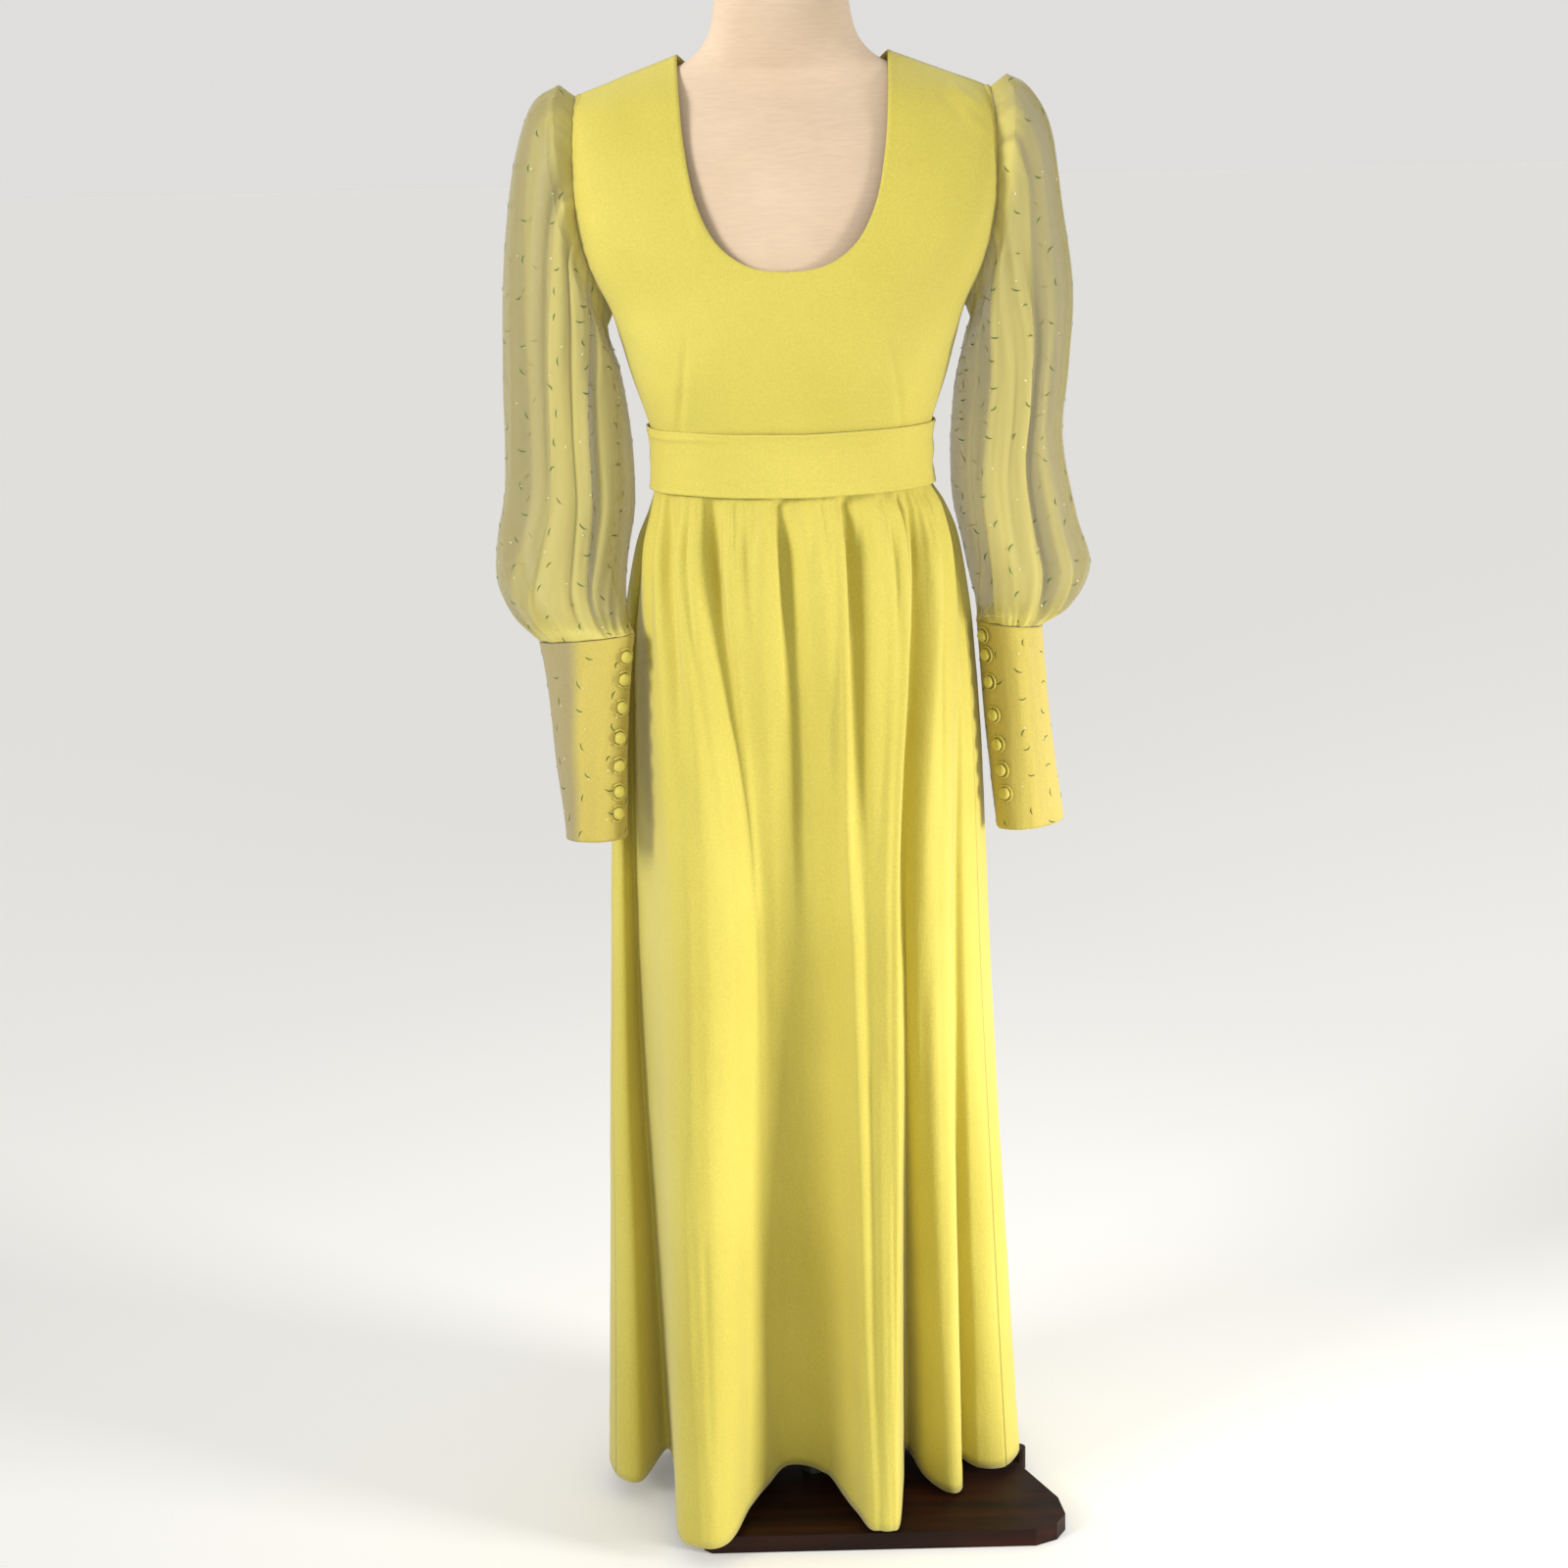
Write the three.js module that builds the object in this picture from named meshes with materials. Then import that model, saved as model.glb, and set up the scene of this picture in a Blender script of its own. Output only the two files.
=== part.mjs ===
import * as THREE from "three";

// A maxi dress on a limbless dress form. Millimetres, +Z up, the front faces -Y.
// The origin is on the underside of the stand's wooden base, below the form.
// Cloth is an open surface, worked out from short tables, then given a wall.

// ---- Driving dimensions ----
const CREPE = 1.2; // wall of the bodice and skirt
const SHEER = 1.0; // wall of the sleeves
const DOUBLED = 2.0; // wall of the sash and cuffs, which are two layers
const SEAM = 0.3; // gap between two pieces where they are sewn together
const WAIST = 1069; // height of the waist seam, under the sash
const SASH_BOTTOM = 1040;
const SASH_TOP = 1098;
const BUST = 1175; // height of the fullest cross-section
const HEM = 22; // lowest point of the skirt's hem
const SLEEVE_COLUMNS = 40;
const CUFF_COLUMNS = 24;
const SASH_COLUMNS = 40;
const FORM_COLUMNS = 30;
const BODICE_STRIPS = 7; // across each half of the front and of the back
const FULLNESS = 0.86; // below 1 squares the cross-section off, at the bust
const BUTTON = { radius: 5.7, height: 5.2, count: 7 };
const LOOP = { reach: 7.6, cord: 1.5, steps: 6, sides: 5 };
const POLE_RADIUS = 13;
const BASE_THICKNESS = 18;

// ---- Tables ----
// Edge of the bodice: side seam up to the armpit, then the armhole's front and back.
const EDGE = [
  { z: 1069, x: 127, front: 0, back: 0 },
  { z: 1098, x: 131, front: 0, back: 0 },
  { z: 1135, x: 143, front: 0, back: 0 },
  { z: 1170, x: 153, front: 0, back: 0 },
  { z: 1203, x: 161, front: 0, back: 0 },
  { z: 1224, x: 170, front: 26, back: 24 },
  { z: 1252, x: 180, front: 38, back: 38 },
  { z: 1286, x: 187, front: 43, back: 46 },
  { z: 1321, x: 189, front: 42, back: 47 },
  { z: 1353, x: 189, front: 34, back: 40 },
  { z: 1379, x: 188, front: 20, back: 24 },
  { z: 1396, x: 187, front: 0, back: 0 },
];
const ARMPIT_ROW = 4;
const SHOULDER_ROW = 11;

// Middle of the front panel: centre front up to the scoop, then the neckline.
const FRONT_MIDDLE = [
  { x: 0, y: -88, z: 1069 },
  { x: 0, y: -95, z: 1098 },
  { x: 0, y: -107, z: 1135 },
  { x: 0, y: -115, z: 1170 },
  { x: 0, y: -114, z: 1206 },
  { x: 0, y: -106, z: 1242 },
  { x: 34, y: -105, z: 1247 },
  { x: 62, y: -99, z: 1267 },
  { x: 80, y: -88, z: 1302 },
  { x: 89, y: -70, z: 1348 },
  { x: 93, y: -47, z: 1393 },
  { x: 95, y: 0, z: 1430 },
];

// Middle of each back panel: centre back up to the nape, then the back neckline.
const BACK_MIDDLE = [
  { x: 0, y: 84, z: 1069 },
  { x: 0, y: 88, z: 1098 },
  { x: 0, y: 95, z: 1137 },
  { x: 0, y: 103, z: 1182 },
  { x: 0, y: 109, z: 1230 },
  { x: 0, y: 110, z: 1278 },
  { x: 0, y: 104, z: 1324 },
  { x: 0, y: 92, z: 1366 },
  { x: 0, y: 76, z: 1398 },
  { x: 44, y: 70, z: 1403 },
  { x: 78, y: 44, z: 1416 },
  { x: 95, y: 0, z: 1430 },
];

// The sash, drawn in round the waist seam and lying against the cloth at its edges.
const SASH = [
  { z: 1040, side: 132.4, front: 94.4, back: 90.2 },
  { z: 1058, side: 131.4, front: 93.6, back: 89.0 },
  { z: 1079, side: 131.4, front: 94.2, back: 89.0 },
  { z: 1098, side: 133.4, front: 97.5, back: 90.5 },
];

// Smooth body of the skirt without its folds, from the waist down, and how far the
// folds' places at the knee and at the hem are reached.
const SKIRT_BODY = [
  { z: 1069, left: 127, right: 127, front: 88, back: 84, knee: 0, hem: 0 },
  { z: 1040, left: 129.5, right: 130.3, front: 91, back: 87, knee: 0, hem: 0 },
  { z: 1018, left: 135, right: 143, front: 100, back: 97, knee: 0.04, hem: 0 },
  { z: 985, left: 146, right: 154, front: 111, back: 109, knee: 0.13, hem: 0 },
  { z: 930, left: 153, right: 162, front: 122, back: 121, knee: 0.31, hem: 0 },
  { z: 860, left: 158, right: 166, front: 128, back: 129, knee: 0.53, hem: 0 },
  { z: 780, left: 162, right: 168, front: 131, back: 133, knee: 0.76, hem: 0 },
  { z: 680, left: 165, right: 170, front: 131, back: 134, knee: 0.95, hem: 0 },
  { z: 560, left: 168, right: 172, front: 128, back: 133, knee: 0.93, hem: 0.08 },
  { z: 420, left: 172, right: 174, front: 123, back: 131, knee: 0.69, hem: 0.31 },
  { z: 280, left: 174, right: 176, front: 121, back: 130, knee: 0.45, hem: 0.55 },
  { z: 140, left: 177, right: 178, front: 120, back: 130, knee: 0.2, hem: 0.8 },
  { z: 22, left: 180, right: 180, front: 120, back: 130, knee: 0, hem: 1 },
];
const KNEE = 620; // height of the skirt's middle section

// Folds of the skirt, once round from centre front to the wearer's left. Each row
// gives the bearing at the waist that hangs down to it, its place at the knee and at
// the hem, and how far the hem is lifted.
const SKIRT_FOLDS = [
  { at: 0, kneeX: 12, kneeY: -98, hemX: 12, hemY: -56, lift: 20 },
  { at: 10, kneeX: 34, kneeY: -108, hemX: 36, hemY: -98, lift: 6 },
  { at: 19, kneeX: 46, kneeY: -124, hemX: 52, hemY: -129, lift: 0 },
  { at: 26, kneeX: 62, kneeY: -118, hemX: 64, hemY: -134, lift: 0 },
  { at: 37, kneeX: 78, kneeY: -126, hemX: 74, hemY: -136, lift: 0 },
  { at: 46, kneeX: 88, kneeY: -120, hemX: 82, hemY: -124, lift: 1 },
  { at: 50, kneeX: 90, kneeY: -96, hemX: 88, hemY: -60, lift: 12 },
  { at: 55, kneeX: 98, kneeY: -84, hemX: 94, hemY: -14, lift: 22 },
  { at: 60, kneeX: 112, kneeY: -90, hemX: 112, hemY: -44, lift: 8 },
  { at: 66, kneeX: 126, kneeY: -92, hemX: 134, hemY: -66, lift: 1 },
  { at: 72, kneeX: 139, kneeY: -80, hemX: 149, hemY: -56, lift: 1 },
  { at: 77, kneeX: 144, kneeY: -48, hemX: 146, hemY: -10, lift: 10 },
  { at: 82, kneeX: 156, kneeY: -44, hemX: 168, hemY: -26, lift: 6 },
  { at: 89, kneeX: 170, kneeY: -28, hemX: 196, hemY: -20, lift: 4 },
  { at: 98, kneeX: 182, kneeY: 12, hemX: 212, hemY: 20, lift: 6 },
  { at: 108, kneeX: 168, kneeY: 44, hemX: 176, hemY: 50, lift: 14 },
  { at: 118, kneeX: 154, kneeY: 74, hemX: 172, hemY: 92, lift: 4 },
  { at: 127, kneeX: 132, kneeY: 104, hemX: 142, hemY: 132, lift: 1 },
  { at: 137, kneeX: 106, kneeY: 106, hemX: 108, hemY: 112, lift: 10 },
  { at: 146, kneeX: 84, kneeY: 96, hemX: 90, hemY: 74, lift: 22 },
  { at: 157, kneeX: 60, kneeY: 120, hemX: 66, hemY: 120, lift: 6 },
  { at: 167, kneeX: 32, kneeY: 136, hemX: 34, hemY: 150, lift: 0 },
  { at: 178, kneeX: 4, kneeY: 128, hemX: 4, hemY: 128, lift: 8 },
  { at: 189, kneeX: -20, kneeY: 108, hemX: -18, hemY: 76, lift: 24 },
  { at: 200, kneeX: -46, kneeY: 120, hemX: -50, hemY: 116, lift: 6 },
  { at: 212, kneeX: -78, kneeY: 128, hemX: -86, hemY: 146, lift: 0 },
  { at: 224, kneeX: -102, kneeY: 108, hemX: -114, hemY: 118, lift: 8 },
  { at: 234, kneeX: -120, kneeY: 84, hemX: -126, hemY: 78, lift: 18 },
  { at: 243, kneeX: -142, kneeY: 84, hemX: -158, hemY: 108, lift: 4 },
  { at: 250, kneeX: -160, kneeY: 66, hemX: -190, hemY: 92, lift: 1 },
  { at: 255, kneeX: -168, kneeY: 46, hemX: -180, hemY: 62, lift: 8 },
  { at: 260, kneeX: -186, kneeY: 26, hemX: -212, hemY: 34, lift: 6 },
  { at: 264, kneeX: -184, kneeY: -2, hemX: -204, hemY: -14, lift: 2 },
  { at: 267, kneeX: -174, kneeY: -14, hemX: -178, hemY: -28, lift: 1 },
  { at: 270, kneeX: -162, kneeY: 0, hemX: -152, hemY: 14, lift: 14 },
  { at: 274, kneeX: -150, kneeY: -40, hemX: -143, hemY: -40, lift: 8 },
  { at: 279, kneeX: -133, kneeY: -96, hemX: -137, hemY: -132, lift: 1 },
  { at: 291, kneeX: -116, kneeY: -130, hemX: -116, hemY: -158, lift: 0 },
  { at: 307, kneeX: -88, kneeY: -138, hemX: -88, hemY: -152, lift: 0 },
  { at: 320, kneeX: -62, kneeY: -122, hemX: -66, hemY: -100, lift: 8 },
  { at: 329, kneeX: -46, kneeY: -104, hemX: -46, hemY: -66, lift: 18 },
  { at: 344, kneeX: -22, kneeY: -96, hemX: -24, hemY: -50, lift: 28 },
];

// Gathers under the sash: where each small valley starts, in degrees round the
// waist from centre front, its width, its depth and the height where it dies out.
const GATHERS = [
  { at: -4, width: 6, depth: 14, ends: 480 },
  { at: 22.5, width: 5, depth: 16, ends: 600 },
  { at: 40, width: 3, depth: 6, ends: 860 },
  { at: 52, width: 4.5, depth: 14, ends: 500 },
  { at: 69, width: 4.5, depth: 10, ends: 720 },
  { at: 84, width: 4.5, depth: 9, ends: 760 },
  { at: 103, width: 5, depth: 12, ends: 640 },
  { at: 119, width: 5, depth: 11, ends: 760 },
  { at: 136, width: 5, depth: 14, ends: 600 },
  { at: 151, width: 4.5, depth: 11, ends: 740 },
  { at: 169, width: 5.5, depth: 14, ends: 640 },
  { at: 186, width: 5, depth: 12, ends: 640 },
  { at: 203, width: 5, depth: 11, ends: 780 },
  { at: 219, width: 5, depth: 14, ends: 640 },
  { at: 237, width: 5, depth: 12, ends: 700 },
  { at: 253, width: 4.5, depth: 9, ends: 760 },
  { at: 269, width: 4, depth: 7, ends: 840 },
  { at: 284, width: 4, depth: 9, ends: 760 },
  { at: 298, width: 5, depth: 15, ends: 680 },
  { at: 312, width: 3, depth: 6, ends: 860 },
  { at: 324, width: 5, depth: 16, ends: 500 },
  { at: 341, width: 4, depth: 5, ends: 860 },
];
const GATHER_STEEP = 0.75; // share of its width on a gather's left, steeper side
const GATHER_SOFT = 1.25; // and on its right

// Rings of each sleeve below its armhole: the outer and inner ends of the ring's
// chord, half the ring's depth across it, and how far it bows out sideways.
const LEFT_SLEEVE = [
  { ox: -202, oy: 0, oz: 1406, ix: -167, iy: 0, iz: 1188, depth: 56, bow: 14 },
  { ox: -226, oy: 2, oz: 1391, ix: -164, iy: 2, iz: 1169, depth: 61, bow: 8 },
  { ox: -245, oy: 4, oz: 1344, ix: -158, iy: 4, iz: 1150, depth: 60, bow: 3 },
  { ox: -257, oy: 6, oz: 1283, ix: -154, iy: 6, iz: 1130, depth: 57, bow: 0 },
  { ox: -264, oy: 8, oz: 1215, ix: -151, iy: 8, iz: 1105, depth: 54, bow: 0 },
  { ox: -267, oy: 8, oz: 1132, ix: -149, iy: 8, iz: 1070, depth: 50, bow: 0 },
  { ox: -270, oy: 6, oz: 1045, ix: -150, iy: 8, iz: 1022, depth: 48, bow: 0 },
  { ox: -279, oy: 0, oz: 994, ix: -157, iy: -2, iz: 980, depth: 50, bow: 0 },
  { ox: -279, oy: -6, oz: 956, ix: -160, iy: -28, iz: 944, depth: 46, bow: 0 },
  { ox: -264, oy: -10, oz: 926, ix: -156, iy: -52, iz: 922, depth: 36, bow: 0 },
  { ox: -239, oy: -16, oz: 900, ix: -152, iy: -72, iz: 914, depth: 27, bow: 0 },
];
const RIGHT_SLEEVE = [
  { ox: 202, oy: 0, oz: 1406, ix: 167, iy: 0, iz: 1188, depth: 56, bow: 14 },
  { ox: 221, oy: 2, oz: 1395, ix: 164, iy: 2, iz: 1169, depth: 61, bow: 8 },
  { ox: 240, oy: 4, oz: 1362, ix: 158, iy: 4, iz: 1150, depth: 60, bow: 3 },
  { ox: 252, oy: 6, oz: 1296, ix: 154, iy: 6, iz: 1130, depth: 57, bow: 0 },
  { ox: 263, oy: 8, oz: 1215, ix: 151, iy: 8, iz: 1105, depth: 54, bow: 0 },
  { ox: 259, oy: 10, oz: 1140, ix: 149, iy: 10, iz: 1070, depth: 50, bow: 0 },
  { ox: 254, oy: 12, oz: 1076, ix: 151, iy: 12, iz: 1022, depth: 48, bow: 0 },
  { ox: 267, oy: 12, oz: 1004, ix: 160, iy: 8, iz: 980, depth: 50, bow: 0 },
  { ox: 280, oy: 14, oz: 956, ix: 168, iy: 2, iz: 944, depth: 48, bow: 0 },
  { ox: 262, oy: 16, oz: 920, ix: 174, iy: -6, iz: 920, depth: 42, bow: 0 },
  { ox: 230, oy: 18, oz: 900, ix: 177, iy: -12, iz: 906, depth: 34, bow: 0 },
];

// Cuffs go on from the last sleeve ring, over the wrist, to the free edge.
const LEFT_CUFF = [
  { ox: -239, oy: -16, oz: 900, ix: -152, iy: -72, iz: 914, depth: 27, bow: 0 },
  { ox: -232, oy: -22, oz: 862, ix: -158, iy: -77, iz: 872, depth: 27, bow: 0 },
  { ox: -225, oy: -31, oz: 806, ix: -164, iy: -86, iz: 814, depth: 27, bow: 0 },
  { ox: -219, oy: -40, oz: 757, ix: -167, iy: -92, iz: 762, depth: 26, bow: 0 },
  { ox: -213, oy: -46, oz: 718, ix: -170, iy: -96, iz: 724, depth: 26, bow: 0 },
];
const RIGHT_CUFF = [
  { ox: 230, oy: 18, oz: 900, ix: 177, iy: -12, iz: 906, depth: 34, bow: 0 },
  { ox: 233, oy: 18, oz: 862, ix: 180, iy: -12, iz: 866, depth: 33, bow: 0 },
  { ox: 240, oy: 18, oz: 801, ix: 184, iy: -13, iz: 801, depth: 31, bow: 0 },
  { ox: 248, oy: 17, oz: 748, ix: 188, iy: -14, iz: 748, depth: 28, bow: 0 },
  { ox: 254, oy: 16, oz: 708, ix: 192, iy: -14, iz: 704, depth: 26, bow: 0 },
];

// Soft folds that run down each sleeve: their turns in degrees round its ring, from
// the outer edge through the front, at the cap, in the middle and at the cuff, and the
// rows of the sleeve's table that they span.
const LEFT_FOLDS = [
  { cap: 40, middle: 56, cuff: 50, width: 8, depth: 3, from: 1, to: 9 },
  { cap: 84, middle: 74, cuff: 76, width: 7, depth: 5, from: 0, to: 10 },
  { cap: 104, middle: 98, cuff: 119, width: 6, depth: 7, from: 0, to: 10.5 },
  { cap: 136, middle: 120, cuff: 137, width: 9, depth: 8, from: 0, to: 10 },
  { cap: 162, middle: 154, cuff: 160, width: 8, depth: 4, from: 4, to: 11 },
  { cap: 214, middle: 222, cuff: 208, width: 9, depth: 6, from: 0, to: 10 },
  { cap: 246, middle: 255, cuff: 240, width: 7, depth: 7, from: 0, to: 10.5 },
  { cap: 275, middle: 272, cuff: 282, width: 8, depth: 5, from: 1, to: 10 },
  { cap: 318, middle: 305, cuff: 312, width: 9, depth: 4, from: 1, to: 9 },
];
const RIGHT_FOLDS = [
  { cap: 62, middle: 50, cuff: 40, width: 8, depth: 6, from: 1, to: 7.5 },
  { cap: 98, middle: 68, cuff: 96, width: 7, depth: 8, from: 2.5, to: 10.5 },
  { cap: 108, middle: 90, cuff: 118, width: 6, depth: 4, from: 1, to: 9 },
  { cap: 120, middle: 123, cuff: 162, width: 8, depth: 7, from: 0, to: 10.5 },
  { cap: 214, middle: 226, cuff: 204, width: 9, depth: 6, from: 0, to: 10 },
  { cap: 244, middle: 252, cuff: 236, width: 7, depth: 7, from: 0, to: 10.5 },
  { cap: 280, middle: 270, cuff: 276, width: 8, depth: 5, from: 1, to: 10 },
  { cap: 312, middle: 304, cuff: 318, width: 9, depth: 5, from: 1, to: 9 },
];
const SLEEVE_MIDDLE = 6; // row of the sleeve's table at its middle
const SLEEVE_PUCKERS = 11; // small gathers at the cap seam and at the cuff seam
const PUCKER_DEPTH = 2.2;

// Rings of the dress form.
const FORM = [
  { z: 788, side: 124, front: 75, back: 81, lean: 0 },
  { z: 792, side: 136, front: 84, back: 91, lean: 0 },
  { z: 812, side: 141, front: 88, back: 96, lean: 0 },
  { z: 860, side: 142, front: 90, back: 97, lean: 0 },
  { z: 920, side: 135, front: 89, back: 92, lean: 0 },
  { z: 980, side: 125, front: 85, back: 84, lean: 0 },
  { z: 1035, side: 120, front: 82, back: 79, lean: 0 },
  { z: 1070, side: 119, front: 81, back: 78, lean: 0 },
  { z: 1110, side: 126, front: 92, back: 84, lean: 0 },
  { z: 1150, side: 136, front: 104, back: 92, lean: 0 },
  { z: 1190, side: 147, front: 110, back: 100, lean: 0 },
  { z: 1230, side: 154, front: 105, back: 104, lean: 0 },
  { z: 1270, side: 160, front: 97, back: 105, lean: 0 },
  { z: 1310, side: 164, front: 89, back: 101, lean: 0 },
  { z: 1345, side: 166, front: 76, back: 90, lean: 0 },
  { z: 1372, side: 165, front: 62, back: 77, lean: 0 },
  { z: 1390, side: 159, front: 49, back: 66, lean: 0 },
  { z: 1403, side: 138, front: 41, back: 57, lean: 0 },
  { z: 1414, side: 109, front: 37.5, back: 49, lean: 0 },
  { z: 1426, side: 84, front: 41, back: 46, lean: -1 },
  { z: 1444, side: 68, front: 46, back: 48, lean: -3 },
  { z: 1470, side: 61, front: 51, back: 50, lean: -7 },
  { z: 1497, side: 59, front: 52, back: 50, lean: -10 },
  { z: 1503, side: 53, front: 46, back: 44, lean: -10 },
];

// Outline of the wooden base.
const BASE_OUTLINE = [
  { x: -112, y: -126 },
  { x: -104, y: -133 },
  { x: 216, y: -133 },
  { x: 238, y: -122 },
  { x: 248, y: -104 },
  { x: 244, y: -72 },
  { x: 206, y: 8 },
  { x: 204, y: 118 },
  { x: 194, y: 130 },
  { x: -102, y: 130 },
  { x: -112, y: 120 },
];
const BASE_KNOB = { x: 213, y: 22, radius: 7, height: 24 };

// ---- Materials ----
const crepe = () => new THREE.MeshStandardMaterial({ color: 0xe6d45c, roughness: 0.75, metalness: 0 });
const sheer = () => new THREE.MeshStandardMaterial({ color: 0xd8d27a, roughness: 0.6, metalness: 0 });
const linen = () => new THREE.MeshStandardMaterial({ color: 0xe8d4b4, roughness: 0.9, metalness: 0 });
const wood = () => new THREE.MeshStandardMaterial({ color: 0x3a1c10, roughness: 0.45, metalness: 0 });
const steel = () => new THREE.MeshStandardMaterial({ color: 0x8c8c88, roughness: 0.4, metalness: 1 });

const dress = new THREE.Group();

function add(name, geometry, material) {
  const mesh = new THREE.Mesh(geometry, material);
  mesh.name = name;
  dress.add(mesh);
  return mesh;
}

// ---- Small tools ----
const radians = (degrees) => (degrees * Math.PI) / 180;
const mix = (a, b, share) => a + (b - a) * share;

// 0 below low, 1 above high, and eased between them.
function ease(value, low, high) {
  const share = Math.min(1, Math.max(0, (value - low) / (high - low)));
  return share * share * (3 - 2 * share);
}

// Smallest turn from one bearing to another, in degrees.
function turnBetween(a, b) {
  const turn = (((a - b) % 360) + 540) % 360;
  return turn - 180;
}

// Catmull-Rom value of one column of a table, at row number t.
function smooth(rows, key, t, closed = false) {
  const count = rows.length;
  const row = Math.min(Math.floor(t), closed ? count - 1 : count - 2);
  const share = t - row;
  const pick = (index) => {
    if (closed) return rows[(index + count) % count][key];
    if (index < 0) return 2 * rows[0][key] - rows[1][key];
    if (index >= count) return 2 * rows[count - 1][key] - rows[count - 2][key];
    return rows[index][key];
  };
  const [before, here, next, after] = [pick(row - 1), pick(row), pick(row + 1), pick(row + 2)];
  const bend = 2 * before - 5 * here + 4 * next - after;
  const twist = 3 * (here - next) + after - before;
  return here + 0.5 * share * (next - before + share * (bend + share * twist));
}

// ---- Cloth ----
// A surface is a list of points and a list of faces, anticlockwise from outside.
// grid[row][column] turns into one; a closed grid joins its last column to its first.
function surfaceFromGrid(grid, closed) {
  const width = grid[0].length;
  const points = grid.flat();
  const faces = [];
  const last = closed ? width : width - 1;
  for (let row = 0; row + 1 < grid.length; row += 1) {
    for (let column = 0; column < last; column += 1) {
      const next = (column + 1) % width;
      const [low, high] = [row * width, (row + 1) * width];
      faces.push([low + column, low + next, high + next, high + column]);
    }
  }
  return { points, faces };
}

// The same surface on the other side of the YZ plane.
function mirrored(surface) {
  const points = surface.points.map((p) => new THREE.Vector3(-p.x, p.y, p.z));
  const faces = surface.faces.map((face) => [...face].reverse());
  return { points, faces };
}

// Two surfaces in one, with points that lie on each other shared.
function joined(first, second) {
  const points = [];
  const places = new Map();
  const faces = [];
  for (const surface of [first, second]) {
    const index = surface.points.map((p) => {
      const key = [p.x, p.y, p.z].map((value) => Math.round(value * 1000)).join(",");
      if (!places.has(key)) places.set(key, points.push(p) - 1);
      return places.get(key);
    });
    for (const face of surface.faces) faces.push(face.map((corner) => index[corner]));
  }
  return { points, faces };
}

// Outward normal at each point of a surface, averaged from its faces.
function normalsOf({ points, faces }) {
  const normals = points.map(() => new THREE.Vector3());
  for (const face of faces) {
    const across = points[face[2]].clone().sub(points[face[0]]);
    const up = points[face[3]].clone().sub(points[face[1]]);
    const normal = across.cross(up);
    for (const corner of face) normals[corner].add(normal);
  }
  return normals.map((normal) => normal.normalize());
}

// A closed wall of the given thickness, centred on a surface. Where a panel ends on
// the YZ or XZ plane, its edge is squared to that plane, so that seams don't cross.
function wall(surface, thickness, squared = false) {
  const { points, faces } = surface;
  const normals = normalsOf(surface);
  if (squared) {
    points.forEach((p, i) => {
      if (Math.abs(p.y) <= SEAM) normals[i].setY(0).normalize();
      if (Math.abs(p.x) <= SEAM) normals[i].setX(0).normalize();
    });
  }
  const moved = (by) => points.map((p, i) => p.clone().addScaledVector(normals[i], by));
  const outer = moved(thickness / 2);
  const inner = moved(-thickness / 2);
  const corners = [...outer, ...inner];
  const triangles = [];
  const addQuad = (a, b, c, d) => {
    const short = corners[a].distanceTo(corners[c]) <= corners[b].distanceTo(corners[d]);
    if (short) triangles.push(a, b, c, a, c, d);
    else triangles.push(a, b, d, b, c, d);
  };
  const sides = new Set();
  const count = points.length;
  for (const face of faces) {
    const [a, b, c, d] = face;
    addQuad(a, b, c, d);
    addQuad(d + count, c + count, b + count, a + count);
    face.forEach((corner, i) => sides.add(`${corner},${face[(i + 1) % 4]}`));
  }
  for (const side of sides) {
    const [from, to] = side.split(",").map(Number);
    if (!sides.has(`${to},${from}`)) addQuad(to, from, from + count, to + count);
  }
  return geometryOf(corners, triangles);
}

function geometryOf(points, triangles) {
  const geometry = new THREE.BufferGeometry();
  const flat = points.flatMap((p) => [p.x, p.y, p.z]);
  geometry.setAttribute("position", new THREE.Float32BufferAttribute(flat, 3));
  geometry.setIndex(triangles);
  return geometry;
}

// A closed solid through rings of points, from the lowest ring to the highest.
function solidThroughRings(rings) {
  const width = rings[0].length;
  const points = rings.flat();
  const triangles = [];
  for (let row = 0; row + 1 < rings.length; row += 1) {
    for (let column = 0; column < width; column += 1) {
      const next = (column + 1) % width;
      const [low, high] = [row * width, (row + 1) * width];
      triangles.push(low + column, low + next, high + next);
      triangles.push(low + column, high + next, high + column);
    }
  }
  const top = (rings.length - 1) * width;
  for (let column = 1; column + 1 < width; column += 1) {
    triangles.push(0, column + 1, column);
    triangles.push(top, top + column, top + column + 1);
  }
  return geometryOf(points, triangles);
}

// ---- Bodice ----
// A half panel is ruled from its outer edge to its middle, bulging like an ellipse.
// side is -1 at the front and 1 at the back; the seams stand half a gap off y = 0.
function halfPanel(middle, depthKey, side, centreGap) {
  const grid = [];
  for (let row = 0; row <= SHOULDER_ROW; row += 1) {
    const edge = EDGE[row];
    const edgeY = side * Math.max(edge[depthKey], SEAM / 2);
    const centre = middle[row];
    const centreY = side * Math.max(Math.abs(centre.y), SEAM / 2);
    const centreX = Math.max(centre.x, centreGap);
    const fullness = mix(1, FULLNESS, ease(edge.z, SASH_TOP, BUST));
    const line = [];
    for (let strip = 0; strip <= BODICE_STRIPS; strip += 1) {
      const turn = (strip / BODICE_STRIPS) * (Math.PI / 2);
      const across = 1 - Math.max(0, Math.cos(turn)) ** fullness;
      const out = Math.sin(turn) ** fullness;
      const x = mix(edge.x, centreX, across);
      const y = mix(edgeY, centreY, out);
      const z = mix(edge.z, centre.z, across);
      line.push(new THREE.Vector3(x, y, z));
    }
    grid.push(side < 0 ? line.reverse() : line);
  }
  return surfaceFromGrid(grid, false);
}

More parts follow.
